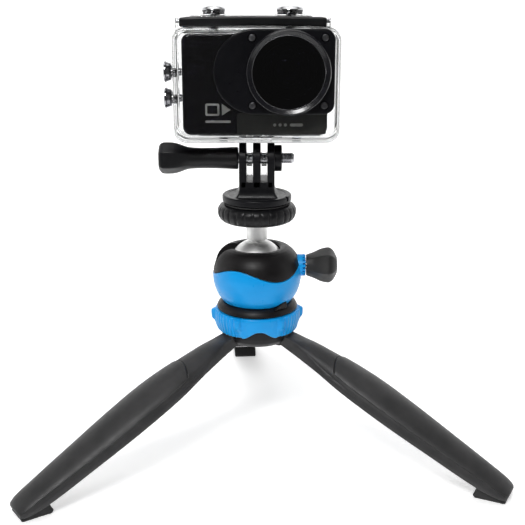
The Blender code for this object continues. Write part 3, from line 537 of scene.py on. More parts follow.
def in_leg_frame(shape, number):
    """Move a shape from the leg's own frame (along, across, normal) to its hinge."""
    hinge = joint_point(f"leg_fold_{number}")
    turned_out = Matrix.Rotation(atan2(hinge.y, hinge.x), 4, "Z")
    shape.transform(Matrix.Translation(hinge) @ turned_out @ Matrix.Rotation(leg_slope(hinge), 4, "Y"))
    return shape


def floor_line(u, number):
    """Height of the floor in the leg's own frame."""
    hinge = joint_point(f"leg_fold_{number}")
    slope = leg_slope(hinge)
    return (u * sin(slope) - hinge.z) / cos(slope)


def foot_shape(number):
    heel, toe = FOOT_HEEL, FOOT_TOE
    outline = [(heel - 0.6, -4.6), (toe - 3.4, -3.8), (toe + 0.4, -3.4),
               (toe + 0.6, floor_line(toe, number) + 0.6), (toe, floor_line(toe, number)),
               (heel + 0.6, floor_line(heel + 0.6, number)),
               (heel - 0.8, floor_line(heel, number) + 1.0)]
    shape = pillow(softened(outline, 0.5), "Y", -FOOT_HALF, FOOT_HALF, 0.6, 4)
    treads = [heel + 2.4 + TREAD_PITCH * i for i in range(4)]
    grooves = [rod("Y", 0.35, -7.0, 7.0, (u, floor_line(u, number)), 12, 0.05) for u in treads]
    return carved(shape, *grooves)


def make_legs():
    for number in (1, 2, 3):
        knuckle = rod("Y", KNUCKLE_R, -KNUCKLE_HALF, KNUCKLE_HALF, segments=48, edge=0.4)
        ribs = [pillow([(u - 0.5, -1.2), (u + 0.5, -1.2), (u + 0.5, 2.0), (u - 0.5, 2.0)],
                       "Y", -7.4, 7.4, 0.1) for u in RIB_PLACES]
        spine = pillow([(17.0, -0.5), (100.0, -0.5), (100.0, 0.5), (17.0, 0.5)], "Z", -1.4, 2.4, 0.1)
        shape = together(skin([leg_ring(p) for p in leg_places()]), knuckle, spine, *ribs)
        leg = in_leg_frame(shape, number)
        stand_in(f"leg_shell_{number}", leg, LEG_GREY, f"leg_{number}", sharp=50)
        foot = in_leg_frame(foot_shape(number), number)
        stand_in(f"foot_boot_{number}", foot, RUBBER, f"foot_{number}")
        pin = in_leg_frame(rod("Y", 1.0, -9.0, 9.0, segments=32, edge=0.25), number)
        stand_in(f"hinge_pin_{number}", pin, SATIN, f"leg_pin_{number}")


# ---- hub and leg ring

LEG_HINGES = [joint_point(f"leg_fold_{number}") for number in (1, 2, 3)]
LEG_AZIMUTHS = [atan2(hinge.x, -hinge.y) * 180 / pi for hinge in LEG_HINGES]


def from_legs(azimuth):
    """How far an azimuth is from the nearest leg, 0 to 60 degrees."""
    turn = (azimuth - LEG_AZIMUTHS[0]) % 120.0
    return min(turn, 120.0 - turn)


def radial(shape, azimuth):
    """Turn a shape made along +X to an azimuth."""
    shape.transform(Matrix.Rotation(radians(azimuth - 90), 4, "Z"))
    return shape


def make_hub():
    (_, radius), _, (bottom, top) = span("hub_body")
    bore = 2.4
    profile = [(bore, top), (radius, top), (radius, 56.5), (15.6, 54.6), (14.0, 52.8), (10.0, 51.4),
               (8.5, bottom), (4.5, bottom), (4.5, 55.2), (bore, 55.2)]
    hub = turned(profile, soft=0.5)
    slots = [radial(brick((7.5, 24.0), (-4.6, 4.6), (40.0, 60.0), 0.1, 0.3), a) for a in LEG_AZIMUTHS]
    stand_in("hub_core", carved(hub, *slots), BLACK, "hub_body")

    (_, wide), _, (low, high) = span("hub_collar")
    collar = [(bore, low), (wide - 0.2, low), (wide, low + 0.6), (wide - 0.7, high - 1.2),
              (wide - 2.0, high), (bore, high)]
    wedge_outline = [(-3.4, high - 0.5), (3.2, high - 0.5), (3.2, high + 2.4), (1.2, high + 2.4)]
    wedge = pillow(softened(wedge_outline, 0.4), "X", 14.9, 16.9, 0.3)
    stand_in("hub_flange", together(turned(collar, soft=0.6), radial(wedge, 38.0)), DOME, "hub_collar")

    screw = [(1.6, 51.6), (3.9, 51.9), (4.1, 54.9), (2.1, 54.9), (2.1, 72.4), (1.6, 72.9)]
    socket = pillow(circle(1.5, 6), "Z", 50.0, 53.4, 0.05)
    head = carved(lathe(screw, soft=0.2), socket)
    stand_in("centre_screw", head, SATIN, "hub_screw")


RIBS_FROM = 26.0               # ribs of the leg ring stand within this many degrees of each leg
RIB_PITCH = 6.5
ARCH_HALF = 26.0               # half width of the ring's arches, degrees
RING_R = 18.35


def ring_profile(azimuth):
    """Leg ring: arched edge and smooth panel between the legs, ribs and two lugs round each leg."""
    inner = span("hub_body")[0][1] + 0.3
    bottom, top = span("leg_ring")[2]
    away = from_legs(azimuth)
    arch = 60.0 - away
    low = bottom + 0.3 * ramp((arch - 24.0) / 3.0)
    if arch < ARCH_HALF:
        low = bottom + 1.6 * (1 + cos(pi * arch / ARCH_HALF))
    lug = 1.8 * ramp((6.0 - abs(away - 30.0)) / 4.0)
    rib = 0.0
    if away < RIBS_FROM:
        rib = 0.5 * abs(sin(pi * away / RIB_PITCH + 0.5 * pi)) ** 0.6
    panel = 0.25 * ramp((1.0 - sqrt((arch / 19.0) ** 2)) / 0.12)
    body = RING_R + rib
    return [(inner, top), (body + 0.15 * lug, top), (body + 0.25 + lug, top - 0.9),
            (body + 0.25 + lug - 0.5 * panel, 64.2), (body + 0.1 + lug - panel, 62.4),
            (body - 0.3 + 0.4 * lug, 60.9), (body - 1.0, low), (inner, low)]


def make_leg_ring():
    stand_in("leg_lock_ring", around(ring_profile, 480, 0.5), AZURE, "leg_ring", sharp=60, flat=False)


# ---- ball head

SHELL_R = 19.4
SHELL_Z = 82.5
SHELL_INNER_R = SHELL_R - 2.5
SPLIT_HALF = 0.12              # half the gap between dome and cup
WAVE_Z = 85.7
WAVE_HEIGHT = 2.4
WAVE_CREST = -28.0
CAVITY_R = 12.3
SEAT_R = 16.4
BALL_R = 12.0
NECK_R = 4.65
THREAD_PITCH = 1.27


def wave(azimuth):
    return WAVE_Z + WAVE_HEIGHT * cos(radians(3 * (azimuth - WAVE_CREST)))


def shell_radius(z, radius=SHELL_R):
    return sqrt(radius ** 2 - (z - SHELL_Z) ** 2)


def arc_down(high, low, radius, steps):
    """Points on the round shell from one height down or up to another."""
    heights = [high + (low - high) * i / steps for i in range(steps + 1)]
    return [(shell_radius(z, radius), z) for z in heights]


def dome_profile(azimuth):
    low = wave(azimuth) + SPLIT_HALF
    ball_z = joint_point("ball_tilt").z
    bowl = [(sqrt(CAVITY_R ** 2 - (z - ball_z) ** 2), z) for z in (92.6, 91.5, 90.4)]
    crown = [(17.4, 90.9), (16.4, 92.2), (15.3, 93.3), (14.0, 94.2), (12.4, 94.7), (10.8, 94.7),
             (9.9, 94.0)]
    outer = arc_down(low, 89.6, SHELL_R, 6) + crown
    return outer + bowl + [(SHELL_INNER_R - 0.6, 90.4), (SHELL_INNER_R - 0.6, low)]


def cup_profile(azimuth):
    high = wave(azimuth) - SPLIT_HALF
    bottom = span("ball_cup")[2][0]
    outer = arc_down(high, 73.2, SHELL_R, 10) + [(shell_radius(bottom) - 0.3, bottom)]
    bowl = [(shell_radius(z, SHELL_INNER_R), z) for z in (73.0, 76.0)]
    wall = [(SHELL_INNER_R - 0.2, 80.0), (SHELL_INNER_R - 0.2, high)]
    return outer + [(2.4, bottom), (2.4, 73.0)] + bowl + wall


def notch_tool(half=4.8, centre_z=88.2):
    """U-shaped slot that lets the neck lie down towards -X."""
    turns = [radians(180 + 9 * i) for i in range(21)]
    arc = [(half * cos(t), centre_z + half * sin(t)) for t in turns]
    return pillow(arc + [(half, 120.0), (-half, 120.0)], "X", -30.0, 0.0, 0.05, 1)


def toothed_boss(ball_z, teeth=18):
    """Boss for the lock screw, its end cut into small square teeth."""
    x0, x1 = 17.6, 21.2
    profile = [(2.5, x0), (2.5, x1 - 0.3), (3.2, x1), (4.5, x1), (4.8, x1 - 0.3), (4.8, x0)]
    boss = turned(profile, "X", (0.0, ball_z), 72)
    cuts = []
    for i in range(teeth):
        turn = 360.0 * i / teeth
        tool = brick((x1 - 1.3, x1 + 1.0), (3.7, 6.0), (-0.42, 0.42), 0.02, 0.05)
        tool.transform(Matrix.Translation((0.0, 0.0, ball_z)) @ Matrix.Rotation(radians(turn), 4, "X"))
        cuts.append(tool)
    return carved(boss, *cuts)


def make_ball_head():
    ball_z = joint_point("ball_tilt").z
    hole = rod("X", 5.1, 12.0, 24.0, (0.0, ball_z))
    dome = carved(around(dome_profile, 180), notch_tool(), hole)
    stand_in("head_dome", dome, DOME, "ball_dome", sharp=42)
    cup = carved(around(cup_profile, 180), rod("X", 2.4, 10.0, 24.0, (0.0, ball_z), 32))
    stand_in("head_cup", together(cup, toothed_boss(ball_z)), AZURE, "ball_cup", sharp=42)

    heights = [74.6 + 1.4 * i for i in range(12)]
    seat_profile = [(sqrt(CAVITY_R ** 2 - (z - ball_z) ** 2), z) for z in reversed(heights)]
    seat_profile += [(shell_radius(z, SEAT_R), z) for z in (74.6, 77.0)] + [(15.9, 82.0), (15.9, 90.0)]
    hole = rod("X", 3.3, 0.0, 20.0, (0.0, ball_z), 48)
    seat = carved(turned(seat_profile, soft=0.0), notch_tool(), hole)
    stand_in("nylon_seat", seat, NYLON, "ball_seat")

    shoe = rod("X", 3.0, *span("clamp_shoe")[0], (0.0, ball_z), 48, 0.4)
    stand_in("brass_shoe", shoe, BRASS, "clamp_shoe")

    start, end = -radians(80), acos((NECK_R - 0.9) / BALL_R)
    sweep = [start + (end - start) * i / 40 for i in range(41)]
    ball = [(BALL_R * cos(a), ball_z + BALL_R * sin(a)) for a in sweep]
    neck_top, stud_top, throat = 107.4, span("ball_stud")[2][1], ball[-1][1]
    neck = [(NECK_R - 0.9, throat + 0.6), (NECK_R - 0.3, throat + 0.9), (NECK_R, throat + 1.3),
            (NECK_R, neck_top - 0.3), (NECK_R - 0.3, neck_top), (3.1, neck_top)]
    thread = []
    z = neck_top + 0.4
    while z < stud_top - 1.2:
        thread += [(2.75, z), (3.1, z + 0.45), (3.1, z + 0.6), (2.75, z + 1.05)]
        z += THREAD_PITCH
    stud = lathe(ball + neck + thread + [(2.6, stud_top)], segments=96, soft=0.0)
    stand_in("ball_and_stud", stud, SATIN, "ball_stud", sharp=40)


def six_sided(turn, radius, flatness):
    """Radius of a six-sided outline with soft corners; flatness is 0 if round, 1 if flat-sided."""
    sixth = pi / 3
    facet = cos(sixth / 2) / cos(turn % sixth - sixth / 2)
    return radius * (1 - flatness * (1 - min(facet, 0.98)))


def faceted_rings(table, centre_z, twist=0.0, steps=144, stations=60):
    """Rings along X from a table of (x, radius, flatness)."""
    x0, x1 = table[0][0], table[-1][0]
    rings = []
    for k in range(stations + 1):
        x = x0 + (x1 - x0) * k / stations
        radius, flatness = curve(table, x, 1), max(0.0, curve(table, x, 2))
        ring = []
        for i in range(steps):
            turn = 2 * pi * i / steps
            reach = six_sided(turn - radians(twist), radius, flatness)
            ring.append((x, reach * sin(turn), centre_z + reach * cos(turn)))
        rings.append(ring)
    return rings


KNOB_TWIST = 17.0              # how far the knob is turned on its screw, degrees


def make_lock_knob():
    """Flared six-sided knob, and its screw."""
    ball_z = joint_point("lock_knob_turn").z
    x0, x1 = span("lock_knob")[0]
    table = [(x0, 4.6, 0.2), (x0 + 1.0, 5.0, 0.5), (24.5, 5.7, 0.8), (28.0, 7.3, 1.0), (30.6, 7.9, 1.0),
             (31.8, 7.8, 1.0), (33.2, 6.8, 0.95), (34.2, 5.3, 0.9), (x1, 3.5, 0.5)]
    rings = faceted_rings(table, ball_z, KNOB_TWIST, stations=34)
    knob = carved(skin(rings), rod("X", 2.3, 10.0, 31.0, (0.0, ball_z), 32))
    stand_in("clamp_knob", knob, KNOB, "lock_knob", sharp=18)
    screw = lathe([(1.4, 15.9), (2.0, 16.5), (2.0, 30.6)], "X", (0.0, ball_z))
    stand_in("clamp_screw", screw, STEEL_X, "lock_screw")


# ---- platform and adapter

FLUTES = 28
FLUTE_STEPS = 14               # points round each flute
FLUTE_DEPTH = 0.55


def make_platform():
    """Camera platform with wide ribs round its rim, and the rubber pad on it."""
    (_, radius), _, (z0, z1) = span("platform_ring")
    steps = FLUTES * FLUTE_STEPS
    rim = [(2.6, z1, 0), (1.7, z1 - 0.15, 0), (0.9, z1 - 0.7, 0.1), (0.3, z1 - 1.5, 0.6),
           (0.0, z1 - 2.4, 0.9), (0.0, 109.8, 1.0), (0.3, 108.8, 0.9), (0.9, 107.8, 0.5),
           (1.6, z0 + 0.3, 0.1), (2.2, z0, 0)]
    profile = [(3.4, z1, 0)] + [(radius - inward, z, flute) for inward, z, flute in rim]
    profile += [(4.7, z0, 0), (4.7, 107.7, 0), (3.4, 107.7, 0)]
    rings = []
    for reach, z, flute in profile:
        ring = []
        for i in range(steps):
            phase = (i % FLUTE_STEPS) / FLUTE_STEPS
            groove = FLUTE_DEPTH * flute * exp(-((phase - 0.5) / 0.13) ** 2)
            turn = 2 * pi * i / steps
            ring.append(((reach - groove) * cos(turn), (reach - groove) * sin(turn), z))
        rings.append(ring)
    stand_in("ribbed_platform", skin(rings, closed=True), BLACK, "platform_ring", sharp=50, flat=False)
    (_, pad_r), _, (low, high) = span("platform_pad")
    pad = [(3.4, high), (pad_r, high), (pad_r, low), (3.4, low)]
    stand_in("platform_rubber", turned(pad, soft=0.25), RUBBER, "platform_pad")


PRONG_R = 7.5
PRONG_PITCH = 6.1
PRONG_HALF = 1.4
SLOT_HALF = 1.4                # the slots for the housing's prongs
CASE_PRONG_HALF = 1.1
BOLT_R = 2.4
BOLT_BORE_R = 2.7
NUT_R = 4.39
NUT_POCKET_R = 4.69


def prong_side(centre_z, root_z, steps=28):
    """Side view of a prong: round end about the hinge, straight to its root above or below."""
    radius = PRONG_R if root_z < centre_z else -PRONG_R
    turns = [pi * i / steps for i in range(steps + 1)]
    arc = [(radius * cos(t), centre_z + radius * sin(t)) for t in turns]
    return arc + [(-radius, root_z), (radius, root_z)]


def prong(x0, x1, hinge_z, root_z, edge):
    """A prong with the bore for the thumbscrew's bolt."""
    blade = pillow(prong_side(hinge_z, root_z), "X", x0, x1, edge)
    return carved(blade, rod("X", BOLT_BORE_R, -20.0, 20.0, (0.0, hinge_z), 48))


def make_adapter():
    hinge_z = joint_point("camera_pitch").z
    z0, top = span("mount_adapter")[2][0], 118.2
    front, rear = span("mount_adapter")[1]
    disc_r = 0.5 * (rear - front)
    half = PRONG_PITCH + PRONG_HALF
    rim = [(0.3, z0), (0.0, z0 + 0.5), (0.0, top - 0.5), (0.6, top), (2.2, top - 0.1),
           (2.6, top - 0.35)]
    profile = [(5.2, z0)] + [(disc_r - inward, z) for inward, z in rim] + [(5.2, top - 0.3)]
    disc = turned(profile, soft=0.25)
    notches = [radial(brick((disc_r - 1.3, disc_r + 2), (-0.8, 0.8), (z0 + 0.9, top + 1), 0.1, 0.2), a)
               for a in (62.0, 242.0)]
    disc = carved(disc, *notches)
    rings = []
    for k in range(9):
        turn = 0.5 * pi * k / 8
        spread = 2.6 * (1 - sin(turn))
        z = top - 0.5 + 4.2 * (1 - cos(turn))
        wide, deep = half + spread, PRONG_R + 0.6 * spread
        outline = rounded((-wide, wide), (-deep, deep), 1.0, 6)
        rings.append([(x, y, z) for x, y in outline])
    rings.append([(x, y, 124.6) for x, y, _ in rings[-1]])
    root = skin(rings)
    inner, outer = PRONG_PITCH / 2 - SLOT_HALF, PRONG_PITCH / 2 + SLOT_HALF
    prongs = [prong(x0, x1, hinge_z, 122.5, 0.35)
              for x0, x1 in ((-half, -outer), (-inner, inner), (outer, half))]
    boss = rod("X", 5.6, half - 0.2, 10.6, (0.0, hinge_z), 72, 0.4)
    pocket = circle(NUT_POCKET_R, 6, (0.0, hinge_z))
    boss = carved(boss, pillow(pocket, "X", half - 0.6, 12.0, 0.02, 1))
    shape = together(disc, root, boss, *prongs)
    stand_in("three_prong_mount", shape, DISC_BLACK, "mount_adapter")
    low, high = span("adapter_insert")[2]
    insert = turned([(3.4, low), (4.8, low), (4.8, high), (3.4, high)], soft=0.2)
    stand_in("thread_insert", insert, BRASS, "adapter_insert")
    nut = pillow(circle(NUT_R, 6, (0.0, hinge_z)), "X", *span("clamp_nut")[0], 0.3)
    nut = carved(nut, rod("X", 2.6, 0.0, 14.0, (0.0, hinge_z), 32))
    stand_in("hex_nut", nut, STEEL_X, "clamp_nut")


def make_thumbscrew():
    """Waisted handle with a six-sided head, on a steel bolt."""
    hinge_z = joint_point("thumbscrew_turn").z
    x0, x1 = span("thumb_handle")[0]
    table = [(x0, 5.2, 0.6), (x0 + 0.5, 6.0, 0.8), (x0 + 1.4, 6.7, 1.0), (-37.8, 6.9, 1.0),
             (-35.0, 6.7, 1.0), (-32.5, 6.0, 0.9), (-30.5, 5.2, 0.6), (-28.4, 4.65, 0.2),
             (-24.0, 4.35, 0.0), (-19.5, 4.35, 0.0), (-14.0, 4.5, 0.0), (-9.6, 4.7, 0.0),
             (-8.3, 4.7, 0.0), (x1, 4.4, 0.0)]
    rings = faceted_rings(table, hinge_z, 2.0, stations=76)
    dish = rod("X", 3.4, x0 - 2.0, x0 + 0.7, (0.0, hinge_z), 48, 0.3)
    handle = carved(skin(rings), rod("X", BOLT_BORE_R, -24.0, 0.0, (0.0, hinge_z), 48), dish)
    stand_in("thumb_grip", handle, BLACK, "thumb_handle", sharp=18)

    start, end = span("thumb_bolt")[0]
    x = 6.6                    # the thread's start
    bolt = [(BOLT_R - 0.5, start), (BOLT_R, start + 0.5), (BOLT_R, -7.0), (BOLT_R, x)]
    while x < end - 1.4:
        bolt += [(BOLT_R - 0.35, x + 0.15), (BOLT_R, x + 0.5), (BOLT_R, x + 0.62)]
        x += 0.8
    bolt += [(BOLT_R - 0.4, end - 0.5), (BOLT_R - 0.9, end)]
    stand_in("thumb_bolt_steel", lathe(bolt, "X", (0.0, hinge_z), 64, 0.0), STEEL_X, "thumb_bolt")


# ---- dive housing

CASE_WALL = 2.0
CASE_CORNER = 5.5
CASE_X, CASE_FRONT_Y = (-34.0, 34.0), -14.0
CASE_Z = (142.3, 188.8)
CASE_SPLIT = 9.0
PORT_HOLE_R = 15.2
BUTTON_Y = 1.0                 # all four buttons
STEM_R = 1.6
STEM_HOLE_R = 1.9
WELL_FLOOR = 191.3             # round wells in the deck that the top caps sink into
TOP_CAP_LOW = 193.2
SIDE_CAP_INNER = -35.5
POCKET_R, POCKET_DEPTH = 2.9, 0.9   # pocket under a cap that takes its spring
DECK_X, DECK_Y = (-27.0, 22.5), (-7.0, 8.0)
DOOR_KNUCKLE_R = 1.8
KNUCKLE_ROOT = 143.3
PIN_R = 0.8                    # pins of the door and the latch
WINDOW_R = 14.7
SCREW_HEAD_R, SCREW_WELL_R = 1.45, 1.8


def shrunk(x, z, corner, inward, steps=10):
    """A rectangle with round corners, moved inward."""
    x, z = ((low + inward, high - inward) for low, high in (x, z))
    return rounded(x, z, corner - inward, steps)


def case_outline(inward):
    return shrunk(CASE_X, CASE_Z, CASE_CORNER, inward)


def tub(outline_at, shut_y, open_y, wall, edge):
    """Open box: outline_at(inset) gives its outline, shut_y its closed face and open_y its rim."""
    way = 1.0 if open_y > shut_y else -1.0
    rims = quarter(5)
    inner_edge = 0.6 * edge
    rings = [(wall + inner_edge * i, shut_y + way * (wall + inner_edge * a)) for i, a in rims]
    rings += [(wall, open_y - way * 0.2), (wall - 0.2, open_y)]
    rings += [(0.25, open_y), (0.0, open_y - way * 0.25)]
    rings += [(edge * i, shut_y + way * edge * a) for i, a in reversed(rims)]
    return skin([[(x, y, z) for x, z in outline_at(i)] for i, y in rings])


def button_places():
    """Name, centre x, cap radius of each top button."""
    found = []
    for name in ("shutter", "power"):
        x = span(f"{name}_button")[0]
        found.append((name, middle(x), 0.5 * (x[1] - x[0])))
    return found


def stem_holes(radius):
    """Upright cutters on the axes of the top buttons."""
    return [rod("Z", radius, 180.0, 200.0, (x, BUTTON_Y), 32, 0.02) for _, x, _ in button_places()]


def side_button_places():
    """Name and centre (y, z) of each side button."""
    found = []
    for name in ("upper", "lower"):
        _, y, z = span(f"{name}_button")
        found.append((name, (middle(y), middle(z))))
    return found


def side_holes(radius, x0, x1):
    """Level cutters on the axes of the side buttons."""
    return [rod("X", radius, x0, x1, at, 32, 0.02) for _, at in side_button_places()]


def make_pin(node_name, at):
    """Steel pin of the door or the latch."""
    pin = rod("X", PIN_R, *span(node_name)[0], (at.y, at.z), 32)
    stand_in(f"{node_name}_steel", pin, STEEL_X, node_name)


def make_case_front():
    hinge_z = joint_point("camera_pitch").z
    port = rod("Y", PORT_HOLE_R, CASE_FRONT_Y - 5, 0.0, facing_centre("port_glass"), 96, 0.05)
    holes = stem_holes(STEM_HOLE_R) + side_holes(STEM_HOLE_R, -40.0, -30.5)
    shell = carved(tub(case_outline, CASE_FRONT_Y, CASE_SPLIT, CASE_WALL, 1.5), port, *holes)
    wells = [rod("Z", radius + 0.5, WELL_FLOOR, 200.0, (x, BUTTON_Y), 64, 0.02)
             for _, x, radius in button_places()]
    deck = carved(brick(DECK_X, DECK_Y, (188.2, 193.0), 0.5, 2.0), *wells, *stem_holes(STEM_HOLE_R))
    ledge = brick((-29.5, 29.5), (-12.6, 6.5), (188.3, 189.1), 0.2, 1.2)
    ledge = carved(ledge, *stem_holes(STEM_HOLE_R))
    prongs = [prong(x - CASE_PRONG_HALF, x + CASE_PRONG_HALF, hinge_z, 142.8, 0.3)
              for x in (-PRONG_PITCH / 2, PRONG_PITCH / 2)]
    foot = brick((-6.5, 6.5), (-9.0, 9.0), (141.7, 143.0), 0.25, 1.5)
    latch_x = span("latch_lever")[0]
    ears = [brick((x0, x1), (-13.1, -9.9), (186.0, 192.5), 0.3, 0.5)
            for x0, x1 in ((latch_x[0] - 1.5, latch_x[0] - 0.4), (latch_x[1] + 0.4, latch_x[1] + 1.5))]
    door = joint_point("door_open")
    knuckles = []
    front_y = CASE_SPLIT - 2.0
    for x0, x1 in ((-16.0, -12.4), (15.0, 18.6)):
        knuckles.append(brick((x0, x1), (front_y, door.y), (door.z - 1.2, 142.0), 0.2, 0.4))
        knuckles.append(brick((x0, x1), (front_y, CASE_SPLIT), (door.z, KNUCKLE_ROOT), 0.2, 0.4))
        knuckles.append(rod("X", DOOR_KNUCKLE_R, x0, x1, (door.y, door.z), 40, 0.2))
    shape = together(shell, deck, ledge, foot, *prongs, *ears, *knuckles)
    stand_in("housing_front", shape, CLEAR, "case_front", sharp=40)


def make_case_door():
    hinge = joint_point("door_open")
    back = span("case_door")[1][1]
    shell = tub(case_outline, back, CASE_SPLIT + 0.3, CASE_WALL, 1.6)
    lip = brick((-31.5, 27.0), (10.4, 13.6), (188.2, 189.2), 0.25, 0.8)
    knuckles = []
    for x0, x1 in ((-24.0, -16.4), (-12.0, -9.6), (11.0, 14.6), (19.0, 26.0)):
        root = (CASE_SPLIT + 2.6, back - 0.4), (hinge.z, KNUCKLE_ROOT)
        knuckles.append(brick((x0, x1), *root, 0.25, 0.4))
        knuckles.append(rod("X", DOOR_KNUCKLE_R, x0, x1, (hinge.y, hinge.z), 40, 0.2))
    stand_in("housing_door", together(shell, lip, *knuckles), CLEAR, "case_door", sharp=40)

    rim = [(0.75, -0.6), (0.8, -0.05), (1.0, 0.1), (1.2, -0.05), (1.25, -0.6)]
    seal = skin([[(x, CASE_SPLIT + y, z) for x, z in case_outline(i)] for i, y in rim], closed=True)
    stand_in("housing_seal", seal, NYLON, "door_seal")
    make_pin("door_pin", hinge)


LATCH_ARM = 3.4                # width of the latch's arms


def make_latch():
    """Slightly arched bar with two arms that press on the door's lip."""
    pivot = joint_point("latch_lift")
    x0, x1 = span("latch_lever")[0]
    section = rounded((pivot.y - 1.9, pivot.y + 1.9), (pivot.z - 1.8, pivot.z + 1.8), 0.8, 5)
    ends = quarter(4)
    places = [(x0 + 0.7 * a, 0.7 * i) for i, a in ends]
    places += [(x0 + (x1 - x0) * k / 30, 0.0) for k in range(1, 30)]
    places += [(x1 - 0.7 * a, 0.7 * i) for i, a in reversed(ends)]
    rings = []
    for x, inward in places:
        bow = -0.55 * ((x - middle((x0, x1))) / (0.5 * (x1 - x0))) ** 2 + 0.1
        rings.append([(x, y, z + bow) for y, z in inset(section, inward)])
    arm_z = (189.6, 191.4)
    arms = [brick(x, (pivot.y + 1.0, 14.2), arm_z, 0.3, 0.8)
            for x in ((x0, x0 + LATCH_ARM), (x1 - LATCH_ARM, x1))]
    rear = brick((x0 + 1.0, x1 - 1.0), (10.0, 14.2), arm_z, 0.3, 0.8)
    grip = [brick((x, x + 1.0), (12.4, 14.2), (arm_z[1] - 0.3, arm_z[1] + 0.35), 0.2, 0.3)
            for x in (-8.0 + 2.4 * i for i in range(6))]
    stand_in("latch_bar", together(skin(rings), rear, *arms, *grip), BLACK, "latch_lever", sharp=40)
    make_pin("latch_pin", pivot)


def plate_outline(lens_z, steps=40):
    """Lens port plate: round left end, straight sides, small round corners at the right."""
    half, left_x, right_x, corner = 16.9, -0.3, 31.4, 4.4
    turns = [radians(90 + 180 * i / steps) for i in range(steps + 1)]
    outline = [(left_x + half * cos(t), lens_z + half * sin(t)) for t in turns]
    for centre_z, start in ((lens_z - half + corner, 270), (lens_z + half - corner, 0)):
        for i in range(11):
            turn = radians(start + 9 * i)
            outline.append((right_x - corner + corner * cos(turn), centre_z + corner * sin(turn)))
    return outline


def make_lens_port():
    centre = facing_centre("port_glass")
    plate_y = span("port_plate")[1]
    screws = [facing_centre(f"port_screw_{n}") for n in (1, 2, 3, 4)]
    plate = pillow(plate_outline(centre[1]), "Y", *plate_y, 0.6, 4)
    cuts = [rod("Y", PORT_HOLE_R, -30.0, 0.0, centre, 96, 0.02)]
    cuts += [rod("Y", SCREW_WELL_R, plate_y[0] - 1.0, plate_y[0] + 1.4, s, 40, 0.02) for s in screws]
    stand_in("port_flange", carved(plate, *cuts), PORT, "port_plate")

    y0, y1 = span("port_bezel")[1]
    bezel = [(17.0, y1), (17.0, y0 + 1.0), (16.75, y0 + 0.3), (16.5, y0), (16.3, y0),
             (14.85, y0 + 0.64), (14.8, y0 + 0.75), (15.0, y0 + 0.9), (15.0, y1)]
    stand_in("port_ring", turned(bezel, "Y", centre, 128, soft=0.2), BEZEL, "port_bezel")
    lip = [(14.45, y0 + 0.6), (14.75, y0 + 0.6), (14.75, y0 + 0.95), (14.45, y0 + 0.95)]
    piece("port_ring_line", turned(lip, "Y", centre, 128, soft=0.05), STEEL_Y, "port_bezel")
    window = rod("Y", WINDOW_R, *span("port_glass")[1], centre, 128, 0.2)
    stand_in("port_window", window, GLASS, "port_glass")
    for number, place in enumerate(screws, 1):
        low, high = span(f"port_screw_{number}")[1]
        profile = [(1.1, low), (SCREW_HEAD_R, low + 0.25), (SCREW_HEAD_R, low + 1.0),
                   (0.8, low + 1.0), (0.8, high)]
        screw = lathe(profile, "Y", place, 40)
        cross = []
        for a, b in ((0.8, 0.18), (0.18, 0.8)):
            corners = ((-a, -b), (a, -b), (a, b), (-a, b))
            slot = [(place[0] + i, place[1] + k) for i, k in corners]
            cross.append(pillow(slot, "Y", low - 0.5, low + 0.45, 0.02, 1))
        stand_in(f"cross_screw_{number}", carved(screw, *cross), STEEL_Y, f"port_screw_{number}")


# ---- push buttons

SPRING_R = 2.5
SPRING_TURNS = 2


def make_key(name, axis, centre, profile, paint):
    """Cap of a key on the camera itself."""
    stand_in(f"camera_{name}_key_cap", lathe(profile, axis, centre), paint, f"camera_{name}_key")


def make_spring(name, axis, centre, lo, hi, wire, paint):
    """A button's compression spring, of round wire."""
    steps, sides = SPRING_TURNS * 32, 10
    rings = []
    for i in range(steps + 1):
        turn = 2 * pi * SPRING_TURNS * i / steps
        along = lo + wire + (hi - lo - 2 * wire) * i / steps
        ring = []
        for k in range(sides):
            roll = 2 * pi * k / sides
            reach = SPRING_R + wire * cos(roll)
            ring.append(placed(axis, (centre[0] + reach * cos(turn), centre[1] + reach * sin(turn)),
                               along + wire * sin(roll)))
        rings.append(ring)
    return stand_in(f"{name}_coil", skin(rings), paint, f"{name}_spring", flat=False)


def make_top_buttons():
    """Chromed caps with a ring groove and a dished middle."""
    for name, x, radius in button_places():
        centre = (x, middle(span(f"{name}_button")[1]))
        low, high = span(f"{name}_button")[2]
        shut, roof = TOP_CAP_LOW, TOP_CAP_LOW + POCKET_DEPTH
        stem = [(STEM_R - 0.3, low), (STEM_R, low + 0.3), (STEM_R, roof), (POCKET_R, roof),
                (POCKET_R, shut)]
        rim = [(0.6, shut), (0.05, high - 1.35), (0.0, high - 1.1), (0.1, high - 0.85),
               (0.9, high - 0.2), (1.5, high), (1.9, high), (2.05, high - 0.45),
               (2.45, high - 0.45), (2.6, high - 0.1)]
        profile = stem + [(radius - inward, z) for inward, z in rim]
        profile += [(1.2, high - 0.35), (0.4, high - 0.4)]
        stand_in(f"{name}_cap", lathe(profile, "Z", centre, 72, 0.12), CHROME_Z, f"{name}_button")
        made = make_spring(name, "Z", centre, span(f"{name}_spring")[2][0], roof - 0.05, 0.24, SATIN)
        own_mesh(made)
        make_key(name, "Z", centre, [(2.4, 185.3), (2.4, 186.4), (2.0, 186.5)], CHROME_Z)


